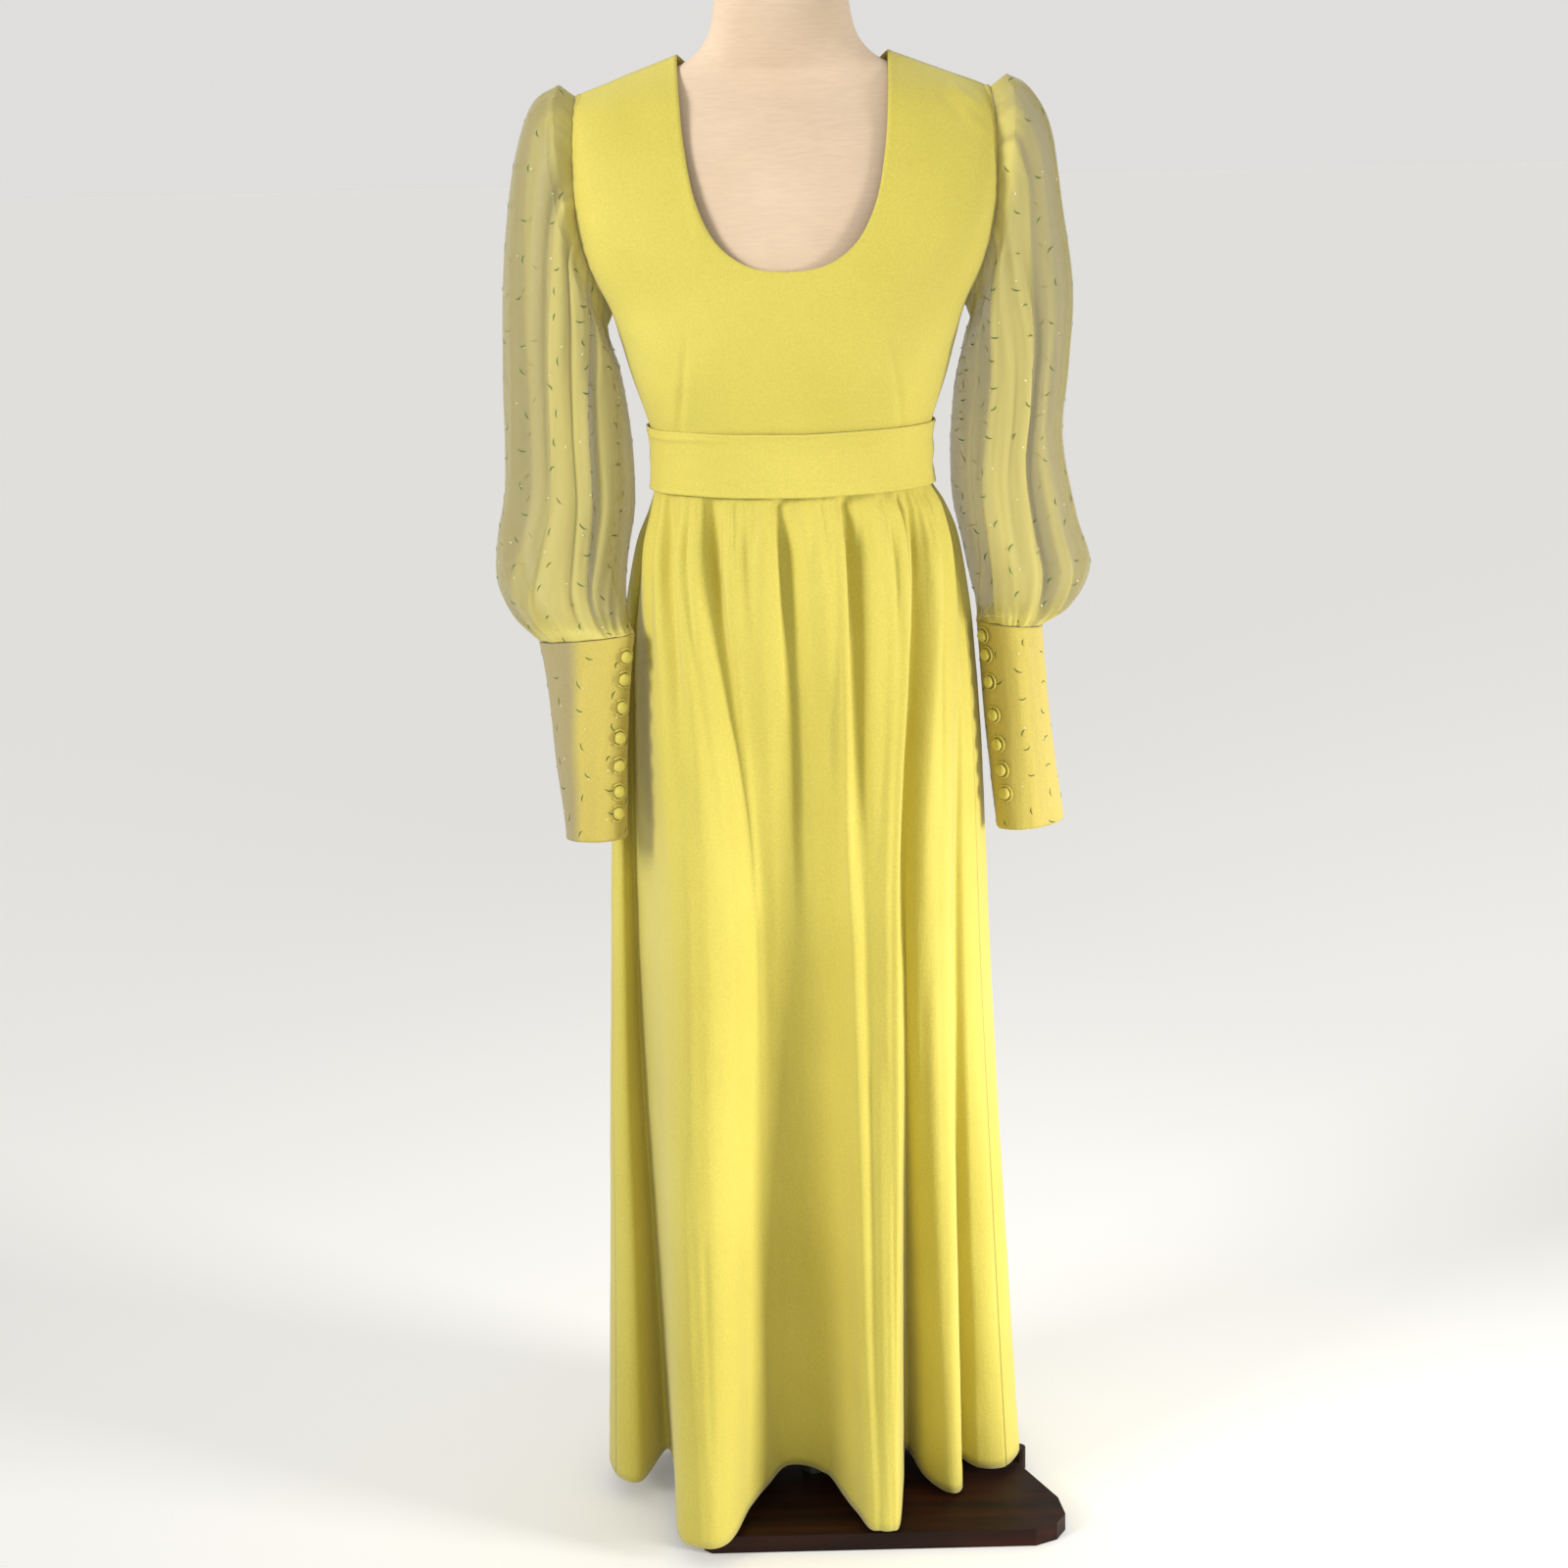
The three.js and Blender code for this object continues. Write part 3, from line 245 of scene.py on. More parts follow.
def wander(seed, *axes):
    """Smooth random values between -1 and 1 over broadcast coordinates."""
    grids = np.broadcast_arrays(*axes)
    flat = [g.ravel() for g in grids]
    while len(flat) < 3:
        flat.append(np.zeros_like(flat[0]))
    start = Vector((seed * 7.31, seed * 3.17, seed * 5.73))
    values = [noise.noise(Vector(p) + start) for p in zip(*flat)]
    return np.array(values).reshape(grids[0].shape)


def stacked(x, y, z):
    return np.stack(np.broadcast_arrays(x, y, z), axis=-1).astype(float)


# ---- Turning grids into cloth ----
def slopes_of(points, closed):
    """Steps along the rows and along the columns of a grid."""
    if closed:
        around = np.roll(points, -1, axis=1) - np.roll(points, 1, axis=1)
    else:
        around = np.gradient(points, axis=1)
    return around, np.gradient(points, axis=0)


def normals_of(points, closed, centre=None):
    """Unit normals of a grid that point away from centre, which has a point for each row.

    Without a centre they point away from the upright axis."""
    if centre is None:
        centre = points.mean(axis=1) * np.array([0, 0, 1])
    normal = np.cross(*slopes_of(points, closed))
    normal /= np.maximum(np.linalg.norm(normal, axis=2, keepdims=True), 1e-9)
    away = points - centre[:, None, :]
    return normal * (1 if (normal * away).sum() > 0 else -1)


def moved_out(points, closed, amount, centre=None):
    """A grid moved along its own normals."""
    return points + normals_of(points, closed, centre) * amount[..., None]


def new_piece(name, verts, faces, made, slot_name, *nodes, values=None):
    """A smooth piece on the root body, which stands for the nodes that are named."""
    mesh = bpy.data.meshes.new(name)
    mesh.from_pydata((np.asarray(verts) * METRE).tolist(), [], faces)
    mesh.validate()
    for key, data in (values or {}).items():
        mesh.attributes.new(key, "FLOAT", "POINT").data.foreach_set("value", data.astype(np.float32))
    piece = bpy.data.objects.new(name, mesh)
    bpy.context.scene.collection.objects.link(piece)
    mesh.materials.append(made)
    mesh.shade_smooth()
    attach(piece, "root")
    if nodes:
        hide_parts(*nodes)
    return piece


def grid_faces(rows, columns, closed, start=0, flip=False):
    last = columns if closed else columns - 1
    faces = []
    for row in range(rows - 1):
        for column in range(last):
            a = start + row * columns + column
            b = start + row * columns + (column + 1) % columns
            face = [a, b, b + columns, a + columns]
            faces.append(face[::-1] if flip else face)
    return faces


def shell(points, normal, wall, closed, start=0, open_rows=0):
    """Vertices, numbered from start, and faces of a thin wall along a grid, with its rims closed.

    The rim along the last column is left out for the first open_rows rows."""
    rows, columns = points.shape[:2]
    count = rows * columns
    flip = (np.cross(*slopes_of(points, closed)) * normal).sum() < 0
    faces = grid_faces(rows, columns, closed, start, flip)
    faces += grid_faces(rows, columns, closed, start + count, not flip)
    ring = list(range(columns)) + ([0] if closed else [])
    rims = [ring, [(rows - 1) * columns + i for i in ring][::-1]]
    if not closed:
        rims.append([i * columns for i in range(rows)][::-1])
        rims.append([i * columns + columns - 1 for i in range(open_rows, rows)])
    for rim in rims:
        for a, b in zip(rim, rim[1:]):
            face = [start + b, start + a, start + a + count, start + b + count]
            faces.append(face[::-1] if flip else face)
    sides = [points + normal * wall / 2, points - normal * wall / 2]
    return np.concatenate([side.reshape(-1, 3) for side in sides]), faces


def cloth(name, points, closed, wall, finish, centre=None, values=None):
    """A sheet of cloth on a grid, which stands for the node of the same name."""
    verts, faces = shell(points, normals_of(points, closed, centre), wall, closed)
    doubled = {}
    for key, data in (values or {}).items():
        doubled[key] = np.tile(np.broadcast_to(data, points.shape[:2]).ravel(), 2)
    piece = new_piece(name + "_cloth", verts, faces, *finish, name, values=doubled)


# ---- Materials ----
def material(name, sockets):
    """A new material whose shader has these constants on its sockets."""
    made = bpy.data.materials.new(name)
    made.use_nodes = True
    shader = made.node_tree.nodes["Principled BSDF"]
    for socket, value in sockets.items():
        shader.inputs[socket].default_value = value
    return made, made.node_tree, shader


def node(tree, kind, **settings):
    """A new node. Each setting goes to the input of its name, or else to the node itself."""
    made = tree.nodes.new(kind)
    for key, value in settings.items():
        if key in made.inputs:
            made.inputs[key].default_value = value
        else:
            setattr(made, key, value)
    return made


def noise_value(tree, scale, detail=2.0, stretch=None):
    """Noise in the object's coordinates, which stretch multiplies along each axis."""
    place = tree.nodes.new("ShaderNodeTexCoord").outputs["Object"]
    if stretch is not None:
        mapping = node(tree, "ShaderNodeMapping", Scale=stretch)
        tree.links.new(place, mapping.inputs["Vector"])
        place = mapping.outputs["Vector"]
    made = node(tree, "ShaderNodeTexNoise", Scale=scale, Detail=detail)
    tree.links.new(place, made.inputs["Vector"])
    return made.outputs["Fac"]


def kept_value(tree, name):
    """A value that is kept at the cloth's vertices."""
    return node(tree, "ShaderNodeAttribute", attribute_name=name).outputs["Fac"]


def ramp(tree, value, *stops):
    """A colour that follows a value. A stop's colour may be one number, for a grey."""
    made = tree.nodes.new("ShaderNodeValToRGB")
    elements = made.color_ramp.elements
    while len(elements) < len(stops):
        elements.new(0.5)
    for element, (place, colour) in zip(elements, stops):
        element.position = place
        element.color = (colour, colour, colour, 1) if isinstance(colour, float) else colour
    tree.links.new(value, made.inputs["Fac"])
    return made.outputs["Color"]


def bump(tree, shader, height, strength, distance, under=None):
    made = node(tree, "ShaderNodeBump", Strength=strength, Distance=distance)
    tree.links.new(height, made.inputs["Height"])
    if under is not None:
        tree.links.new(under, made.inputs["Normal"])
    tree.links.new(made.outputs["Normal"], shader.inputs["Normal"])
    return made.outputs["Normal"]


def srgb(red, green, blue):
    """A colour given in 0 to 255 steps, as a shader's linear one."""
    linear = [((c / 255 + 0.055) / 1.055) ** 2.4 if c > 10 else c / 255 / 12.92 for c in (red, green, blue)]
    return (*linear, 1.0)


def shaded(tree, colour, value, low, high):
    """A colour made darker and lighter by a pattern."""
    both = node(tree, "ShaderNodeMix", data_type="RGBA", blend_type="MULTIPLY", clamp_result=False)
    both.inputs[0].default_value = 1.0
    tree.links.new(colour, both.inputs[6])
    tree.links.new(ramp(tree, value, (0.35, low), (0.65, high)), both.inputs[7])
    return both.outputs[2]


def crepe_material(name, dark, light, unshaded_share=False):
    """Pebbled crepe. Its colour can instead follow a share kept at the vertices, from painted shade at 0 to
    the crepe's own colour at 1.
    """
    made, tree, shader = material(
        name, {"Roughness": 0.72, "Sheen Weight": 0.25, "Sheen Roughness": 0.45, "Specular IOR Level": 0.3}
    )
    if unshaded_share:
        colour = ramp(tree, kept_value(tree, "unshaded_share"), (0.0, dark), (1.0, light))
    else:
        colour = ramp(tree, noise_value(tree, 5.0), (0.3, dark), (0.7, light))
    colour = shaded(tree, colour, noise_value(tree, 520.0, 4.0), 0.95, 1.05)
    tree.links.new(colour, shader.inputs["Base Color"])
    pebble = bump(tree, shader, noise_value(tree, 1100.0, 3.0), 0.5, 0.0006)
    bump(tree, shader, noise_value(tree, 1.0, stretch=(420.0, 420.0, 60.0)), 0.3, 0.0007, pebble)
    return made


def sheer_material(name, single, bunched, alpha, bunched_alpha):
    """Voile that is lighter and less sheer where it is gathered or lies doubled."""
    made, tree, shader = material(
        name, {"Roughness": 0.6, "Sheen Weight": 0.4, "Sheen Roughness": 0.35, "Specular IOR Level": 0.25}
    )
    gathered = kept_value(tree, "gathered")
    tree.links.new(ramp(tree, gathered, (0.0, single), (0.8, bunched)), shader.inputs["Base Color"])
    tree.links.new(ramp(tree, gathered, (0.0, alpha), (1.0, bunched_alpha)), shader.inputs["Alpha"])
    bump(tree, shader, noise_value(tree, 900.0), 0.2, 0.0003)
    return made


def linen_material(name, dark, light):
    made, tree, shader = material(name, {"Roughness": 0.85, "Sheen Weight": 0.2})
    colour = ramp(tree, noise_value(tree, 7.0), (0.35, dark), (0.65, light))
    threads = noise_value(tree, 1.0, 3.0, (60.0, 60.0, 520.0))
    tree.links.new(shaded(tree, colour, threads, 0.965, 1.035), shader.inputs["Base Color"])
    ribs = bump(tree, shader, noise_value(tree, 1.0, stretch=(600.0, 600.0, 160.0)), 0.3, 0.0004)
    bump(tree, shader, noise_value(tree, 500.0), 0.2, 0.0005, ribs)
    return made


def wood_material(name, dark, middle, light):
    made, tree, shader = material(name, {"Specular IOR Level": 0.16})
    grain = noise_value(tree, 1.6, 8.0, (3.0, 34.0, 34.0))
    colour = ramp(tree, grain, (0.3, dark), (0.52, middle), (0.75, light))
    tree.links.new(colour, shader.inputs["Base Color"])
    worn = ramp(tree, noise_value(tree, 18.0), (0.3, 0.42), (0.7, 0.6))
    tree.links.new(worn, shader.inputs["Roughness"])
    bump(tree, shader, grain, 0.15, 0.0006)
    return made


def steel_material(name):
    made, tree, shader = material(name, {"Base Color": (0.42, 0.42, 0.41, 1), "Metallic": 1.0})
    brushed = noise_value(tree, 1.0, stretch=(900.0, 900.0, 12.0))
    tree.links.new(ramp(tree, brushed, (0.3, 0.28), (0.7, 0.42)), shader.inputs["Roughness"])
    return made


def thread_material(name, colour):
    made, tree, shader = material(name, {"Roughness": 0.8})
    dark = tuple(c * 0.75 for c in colour[:3]) + (1,)
    tint = ramp(tree, noise_value(tree, 300.0), (0.35, dark), (0.65, colour))
    tree.links.new(tint, shader.inputs["Base Color"])
    bump(tree, shader, noise_value(tree, 2500.0), 0.3, 0.0002)
    return made


# Each finish is a material and the record's slot that it belongs to.
CREPE_FINISH = (crepe_material("lemon_crepe", srgb(187, 174, 73), srgb(196, 184, 83)), "crepe")
# The cuff's darker colour is painted shade, laid on the outer side of the cuffs.
CUFF_FINISH = (crepe_material("cuff_crepe", srgb(146, 134, 92), srgb(186, 169, 80), True), "cuff_cloth")
SHEER_FINISH = (sheer_material("sheer_voile", srgb(164, 152, 84), srgb(212, 200, 110), 0.33, 0.72), "sheer")
FORM_FINISH = (linen_material("form_jersey", srgb(196, 173, 147), srgb(206, 184, 159)), "linen")
WOOD_FINISH = (wood_material("mahogany", srgb(16, 6, 3), srgb(34, 13, 6), srgb(54, 23, 10)), "wood")
POLE_FINISH = (steel_material("pole_steel"), "pole")
SPRIG_THREAD = thread_material("green_sprig_thread", srgb(82, 112, 48))
DOT_THREAD = thread_material("pale_dot_thread", srgb(226, 222, 176))


# ---- Bodice ----
STRIPS = 64
ROWS_PER_STEP = 11
BLEND_REACH = 20
BLEND_WIDTH = 11.0
# Of a bound edge and a seam: where its roll and its stitched groove lie, and how wide they are.
NECK_BINDING = {"roll": 2.2, "roll_width": 2.4, "groove": 6.0, "groove_width": 1.2}
ARMHOLE_SEAM = {"roll": 2.5, "roll_width": 2.0, "groove": 5.5, "groove_width": 1.3}
PUCKER_REACH = 11.0
MIDDLE_BLEND = 14
WELD = 0.00002


def softened(points):
    """A grid whose rows are blended with their neighbours, apart from the panel's edges."""
    weight = bell(np.arange(-BLEND_REACH, BLEND_REACH + 1) / BLEND_WIDTH)
    weight /= weight.sum()
    padded = np.pad(points, ((BLEND_REACH, BLEND_REACH), (0, 0), (0, 0)), mode="edge")
    blended = sum(share * padded[k : k + len(points)] for k, share in enumerate(weight))
    row = np.arange(len(points))
    column = np.linspace(0, 1, points.shape[1])
    from_ends = ease(np.minimum(row, row[::-1]), 0, BLEND_REACH)[:, None]
    inside = (ease(column, 0, 0.15) * (1 - ease(column, 0.7, 1.0)))[None, :]
    return mix(points, blended, (from_ends * inside)[..., None])


def half_panel(middle, depth_key, side, corner, gap):
    """A right half, from the side seam and armhole to the centre line and neckline."""
    t = np.linspace(0, SHOULDER_ROW, SHOULDER_ROW * ROWS_PER_STEP + 1)
    edge = {key: smooth(EDGE, key, t) for key in EDGE}
    edge_y = side * np.maximum(edge[depth_key] * ease(t, ARMPIT_ROW, ARMPIT_ROW + 0.4), SEAM / 2)
    centre_x = np.maximum(cornered(middle, "x", t, corner), gap)
    centre_y = side * np.maximum(np.abs(cornered(middle, "y", t, corner)), SEAM / 2)
    centre_z = cornered(middle, "z", t, corner)
    fullness = mix(1, FULLNESS, ease(edge["z"], SASH_TOP, BUST))[:, None]
    turn = np.linspace(0, math.pi / 2, STRIPS + 1)[None, :]
    across = 1 - np.maximum(np.cos(turn), 0) ** fullness
    out = np.sin(turn) ** fullness
    x = mix(edge["x"][:, None], centre_x[:, None], across)
    y = mix(edge_y[:, None], centre_y[:, None], out)
    z = mix(edge["z"][:, None], centre_z[:, None], across)
    return softened(stacked(x, y, z)), t


def line_distance(points, a, b):
    """Distance in the XZ plane from a line between two (x, z) points, and the share along it."""
    direction = np.array(b, float) - a
    length = np.linalg.norm(direction)
    off = points[..., [0, 2]] - np.array(a, float)
    share = (off @ direction) / length**2
    return (off[..., 0] * direction[1] - off[..., 1] * direction[0]) / length, share


# Darts and soft creases from (ax, az) to (bx, bz); troughs have a negative depth.
FRONT_CREASES = table(
    "ax az bx bz width depth",
    (100, 1100, 90, 1186, 2.0, -1.5), (95, 1102, 84, 1160, 7.0, 1.1), (106, 1100, 100, 1150, 6.0, 0.8),
    (-101, 1100, -92, 1186, 2.0, -1.8), (-96, 1102, -86, 1165, 7.0, 1.2), (-108, 1100, -103, 1150, 6.0, 1.2),
    (-88, 1330, -76, 1266, 5.0, 1.3), (150, 1398, 176, 1378, 4.0, 1.6), (138, 1394, 160, 1370, 5.0, -1.2),
    (160, 1375, 182, 1352, 5.0, 1.2), (-176, 1290, -140, 1262, 9.0, 1.2), (176, 1290, 138, 1258, 9.0, 1.2),
    (-150, 1180, -112, 1140, 10.0, -1.2), (150, 1176, 116, 1130, 10.0, -1.2),
)
BACK_CREASES = table(
    "ax az bx bz width depth",
    (86, 1100, 78, 1220, 2.0, -1.5), (-86, 1100, -78, 1220, 2.0, -1.5), (150, 1330, 110, 1290, 9.0, 1.2),
    (-152, 1320, -108, 1286, 9.0, 1.2), (140, 1180, 100, 1130, 9.0, -1.2),
    (-142, 1176, -104, 1132, 9.0, -1.2),
)


def creases(points, lines):
    height = np.zeros(points.shape[:2])
    for line in each(lines):
        off, share = line_distance(points, (line["ax"], line["az"]), (line["bx"], line["bz"]))
        span = ease(share, -0.15, 0.2) * (1 - ease(share, 0.75, 1.15))
        height += line["depth"] * span * bell(off / line["width"])
    return height


def arc_along(points):
    """Distance along each row of a grid from its first point."""
    steps = np.linalg.norm(np.diff(points, axis=1), axis=2)
    return np.concatenate([np.zeros((len(points), 1)), np.cumsum(steps, axis=1)], axis=1)


def stitched_edge(distance, seam):
    """The roll along an edge and the groove of the stitches beside it."""
    roll = bell((distance - seam["roll"]) / seam["roll_width"])
    return 0.7 * roll - 0.5 * bell((distance - seam["groove"]) / seam["groove_width"])


def bodice_relief(points, t, corner, seed, lines):
    """Neck binding, armhole and shoulder seams, darts and soft creases of a half panel."""
    on_neck = ease(t, corner, corner + 0.25)[:, None]
    on_armhole = ease(t, ARMPIT_ROW, ARMPIT_ROW + 0.3)[:, None]
    from_edge = arc_along(points)
    from_neck = arc_along(points[:, ::-1])[:, ::-1]
    x, y, z = points[..., 0], points[..., 1], points[..., 2]
    relief = on_neck * stitched_edge(from_neck, NECK_BINDING)
    relief += on_armhole * stitched_edge(from_edge, ARMHOLE_SEAM)
    relief += on_armhole * 1.1 * wander(seed, z / 7.0, y / 9.0) * bell(from_edge / PUCKER_REACH)
    relief += 0.7 * wander(seed + 3, x / 46.0, z / 80.0, y / 60.0)
    relief += 0.25 * wander(seed + 5, x / 16.0, z / 26.0, y / 20.0)
    return relief + creases(points, lines)


def bodice_front():
    """The two halves of the front, whose relief is the same where they meet."""
    right, t = half_panel(FRONT_MIDDLE, "front", -1, NECK_ROW, 0.0)
    sides = []
    for seed, half in ((1, right * np.array([-1, 1, 1])), (2, right)):
        from_middle = np.abs(half[..., 0])
        shared = np.where((from_middle < MIDDLE_BLEND)[..., None], right, half)
        own = bodice_relief(half, t, NECK_ROW, seed, FRONT_CREASES)
        common = bodice_relief(shared, t, NECK_ROW, 2, FRONT_CREASES)
        blend = np.where(t[:, None] <= NECK_ROW + 0.5, ease(from_middle, 0, MIDDLE_BLEND), 1)
        sides.append(moved_out(half, False, mix(common, own, blend)))
    return sides, t


def joined_front(sides, t):
    """One cloth of the two halves, which share their centre line up to the neck."""
    joined = t <= NECK_ROW + 1e-6
    middle = (sides[0][joined, -1] + sides[1][joined, -1]) / 2
    middle[:, 0] = 0
    for half in sides:
        half[joined, -1] = middle
    normals = [normals_of(half, False) for half in sides]
    facing = normals[0][joined, -1] + normals[1][joined, -1]
    facing /= np.linalg.norm(facing, axis=1, keepdims=True)
    verts, faces = np.zeros((0, 3)), []
    for half, normal in zip(sides, normals):
        normal[joined, -1] = facing
        new_verts, new_faces = shell(half, normal, CREPE, False, len(verts), np.count_nonzero(joined) - 1)
        verts = np.concatenate([verts, new_verts])
        faces += new_faces
    piece = new_piece("bodice_front_cloth", verts, faces, *CREPE_FINISH, "bodice_front")
    weld = bmesh.new()
    weld.from_mesh(piece.data)
    bmesh.ops.remove_doubles(weld, verts=weld.verts, dist=WELD)
    weld.to_mesh(piece.data)
    weld.free()
    piece.data.shade_smooth()


def bodice_back(hand, sign):
    half, t = half_panel(BACK_MIDDLE, "back", 1, NAPE_ROW, SEAM / 2)
    half = half * np.array([sign, 1, 1])
    half = moved_out(half, False, bodice_relief(half, t, NAPE_ROW, 11 + sign, BACK_CREASES))
    cloth(f"bodice_back_{hand}", half, False, CREPE, CREPE_FINISH)


joined_front(*bodice_front())
bodice_back("left", -1)
bodice_back("right", 1)


# ---- Skirt ----
SKIRT_COLUMNS_PER_ROW = 14
SKIRT_ROWS_PER_STEP = 11
GATHER_STEEP = 0.75
GATHER_SOFT = 1.25
GATHER_FULL = 985
GATHER_TOP = 1000
FOLD_GAP = 0.012
HEM_STITCH = 26
ONCE_ROUND = len(SKIRT_FOLDS["at"])


def gather_depth(bearing, z):
    """Valleys that start under the sash, steeper on the side towards the wearer's right."""
    depth = np.zeros(np.broadcast(bearing, z).shape)
    grown = mix(0.22, 1, 1 - ease(z, GATHER_FULL, SASH_BOTTOM + 6))
    for valley in each(GATHERS):
        off = turn_between(bearing, valley["at"]) / valley["width"]
        off = off / np.where(off < 0, GATHER_STEEP, GATHER_SOFT)
        depth += valley["depth"] * grown * ease(z, valley["ends"], GATHER_TOP) * bell(off)
    return depth


def body_point(bearing, row):
    body = {key: smooth(SKIRT_BODY, key, row) for key in ("left", "right", "front", "back")}
    side = np.where(np.sin(np.radians(bearing)) > 0, body["right"], body["left"])
    return oval_point(side, body["front"], body["back"], bearing)


def skirt_grid(start, end):
    """The skirt's surface between two rows of its folds, with the bearings and heights."""
    t = np.linspace(start + FOLD_GAP, end - FOLD_GAP, (end - start) * SKIRT_COLUMNS_PER_ROW + 1)
    around = t % ONCE_ROUND
    row = np.floor(around).astype(int)
    here = SKIRT_FOLDS["at"][row]
    step = turn_between(SKIRT_FOLDS["at"][(row + 1) % ONCE_ROUND], here)
    bearing = (here + step * (around - row))[None, :]
    fold = {key: smooth(SKIRT_FOLDS, key, around, closed=True)[None, :] for key in SKIRT_FOLDS}
    steps = len(SKIRT_BODY["z"]) - 1
    down = np.linspace(0, steps, steps * SKIRT_ROWS_PER_STEP + 1)[:, None]
    body = {key: smooth(SKIRT_BODY, key, down) for key in ("z", "knee", "hem")}
    z = body["z"]
    above = int(np.argmax(SKIRT_BODY["z"] < KNEE)) - 1
    span = SKIRT_BODY["z"][above] - SKIRT_BODY["z"][above + 1]
    knee_row = above + (SKIRT_BODY["z"][above] - KNEE) / span
    here_x, here_y = body_point(bearing, down)
    knee_x, knee_y = body_point(bearing, knee_row)
    hem_x, hem_y = body_point(bearing, steps)
    inward = 1 - gather_depth(bearing, z) / np.hypot(here_x, here_y)
    x = here_x * inward + (fold["knee_x"] - knee_x) * body["knee"] + (fold["hem_x"] - hem_x) * body["hem"]
    y = here_y * inward + (fold["knee_y"] - knee_y) * body["knee"] + (fold["hem_y"] - hem_y) * body["hem"]
    fall = (WAIST - z) / (WAIST - HEM)
    return stacked(x, y, z - SEAM + fold["lift"] * fall**3), bearing, z


# Ridges down the skirt at a bearing, from top to low; troughs have a negative depth.
SKIRT_CREASES = table(
    "at width depth top low",
    (-76, 3.0, 2.5, 1010, 760), (-66, 2.5, 2.0, 1000, 820), (-50, 3.0, 2.2, 1000, 640),
    (-43, 2.2, 2.5, 1010, 700), (-34, 1.6, 2.5, 1020, 960), (-28, 3.0, 2.0, 980, 600),
    (-14, 4.0, 3.0, 1000, 640), (-9, 2.0, 2.5, 1010, 620), (4, 2.5, 2.0, 1010, 800),
    (9, 3.0, 2.2, 1000, 700), (17, 2.0, 3.5, 1010, 600), (28, 3.0, 2.2, 990, 700),
    (34, 3.0, -1.6, 960, 640), (43.4, 2.0, 3.5, 1020, 60), (46.2, 1.3, -4.6, 1040, 100),
    (62, 2.6, 2.5, 1010, 500), (68, 1.4, -2.0, 1040, 700), (76, 2.5, 2.2, 1000, 560),
    (87, 2.0, -1.6, 1010, 640), (95, 3.0, 2.4, 1000, 640), (112, 3.0, 2.2, 1010, 600),
    (128, 3.0, 2.6, 1000, 560), (143, 2.6, 2.4, 1010, 640), (160, 3.4, 2.8, 1000, 560),
    (176, 2.4, 2.0, 1010, 700), (195, 3.2, 2.6, 1000, 560), (211, 2.6, 2.2, 1010, 640),
    (228, 3.2, 2.8, 1000, 540), (246, 2.8, 2.2, 1010, 640), (261, 2.6, 2.0, 1000, 700),
    (-64, 1.8, -3.0, 1048, 900), (-36, 1.7, -4.0, 1048, 905), (-5, 2.2, -4.0, 1048, 880),
    (20.5, 1.7, -4.0, 1048, 890), (-56, 1.1, -2.0, 1048, 960), (11, 1.1, -2.2, 1048, 950),
    (37, 1.2, -2.2, 1048, 955), (58, 6.0, 6.5, 985, 40), (-24, 1.0, -1.8, 1048, 965),
    (-6, 4.2, -1.8, 1040, 620), (-37, 2.6, -1.2, 1040, 720), (22, 3.2, -2.4, 1040, 620),
    (104, 1.6, -3.0, 1048, 900), (136, 1.4, -2.6, 1048, 930), (169, 1.8, -3.4, 1048, 890),
    (203, 1.5, -2.8, 1048, 920), (238, 1.8, -3.2, 1048, 900),
)
HEM_CREASES = table(
    "at width depth top low",
    (-70, 3.0, 1.6, 420, 120), (-60, 2.0, -1.4, 330, 60), (-47, 4.0, 2.2, 520, 40),
    (-30, 3.0, -2.2, 640, 60), (6, 6.0, 2.0, 480, 60), (30, 4.0, 2.0, 500, 40),
    (41, 2.2, -1.4, 380, 80), (64, 2.0, 1.6, 560, 60), (80, 2.0, -1.6, 240, 60),
    (92, 3.0, 1.8, 420, 60), (122, 3.0, 2.0, 460, 60), (150, 3.0, -2.0, 460, 60),
    (171, 3.0, 2.0, 440, 60), (206, 3.0, 2.0, 480, 60), (232, 3.0, -2.0, 430, 60),
    (252, 2.4, 1.8, 420, 60),
)


def long_creases(bearing, z, lines):
    """Ridges and troughs that run down the cloth and die out."""
    height = np.zeros(np.broadcast(bearing, z).shape)
    for line in each(lines):
        top, low = line["top"], line["low"]
        off = turn_between(bearing, line["at"]) / line["width"]
        span = (1 - ease(z, top - 20, top + 25)) * ease(z, low, low + (top - low) * 0.45)
        height += line["depth"] * span * bell(off)
    return height


def skirt_relief(bearing, z, seed):
    """Fine gathers under the sash, long soft ripples down the cloth, and the turned-up hem."""
    below = SASH_BOTTOM - z
    puckers = wander(seed, bearing / 2.3, z / 70.0) * ease(below, -20, 6) * (1 - ease(below, 20, 130))
    ripples = wander(seed + 1, bearing / 7.5, z / 320.0) * ease(below, 0, 60)
    crumple = wander(seed + 4, bearing / 5.0, z / 34.0)
    height = 1.6 * puckers + 1.6 * ripples + 0.3 * crumple
    height += long_creases(bearing, z, SKIRT_CREASES) + long_creases(bearing, z, HEM_CREASES)
    from_stitch = z - HEM - HEM_STITCH
    height += 0.6 * bell(from_stitch / 2.2) - 0.5 * bell((from_stitch - 4) / 2.5)
    return height


def skirt_panel(name, start, end, seed):
    """One gathered panel. Its relief is small at its seams and stays under the sash above."""
    points, bearing, z = skirt_grid(start, end)
    column = np.arange(points.shape[1])
    from_seam = ease(np.minimum(column, column[::-1]), 0, 6)[None, :]
    shown = 1 - ease(z, SASH_BOTTOM - 8, SASH_BOTTOM)
    relief = skirt_relief(bearing, z, seed) * from_seam * mix(0.15, 1, shown)
    points = moved_out(points, False, np.minimum(relief, mix(0.4, 9, shown)))
    cloth(name, points, False, CREPE, CREPE_FINISH)


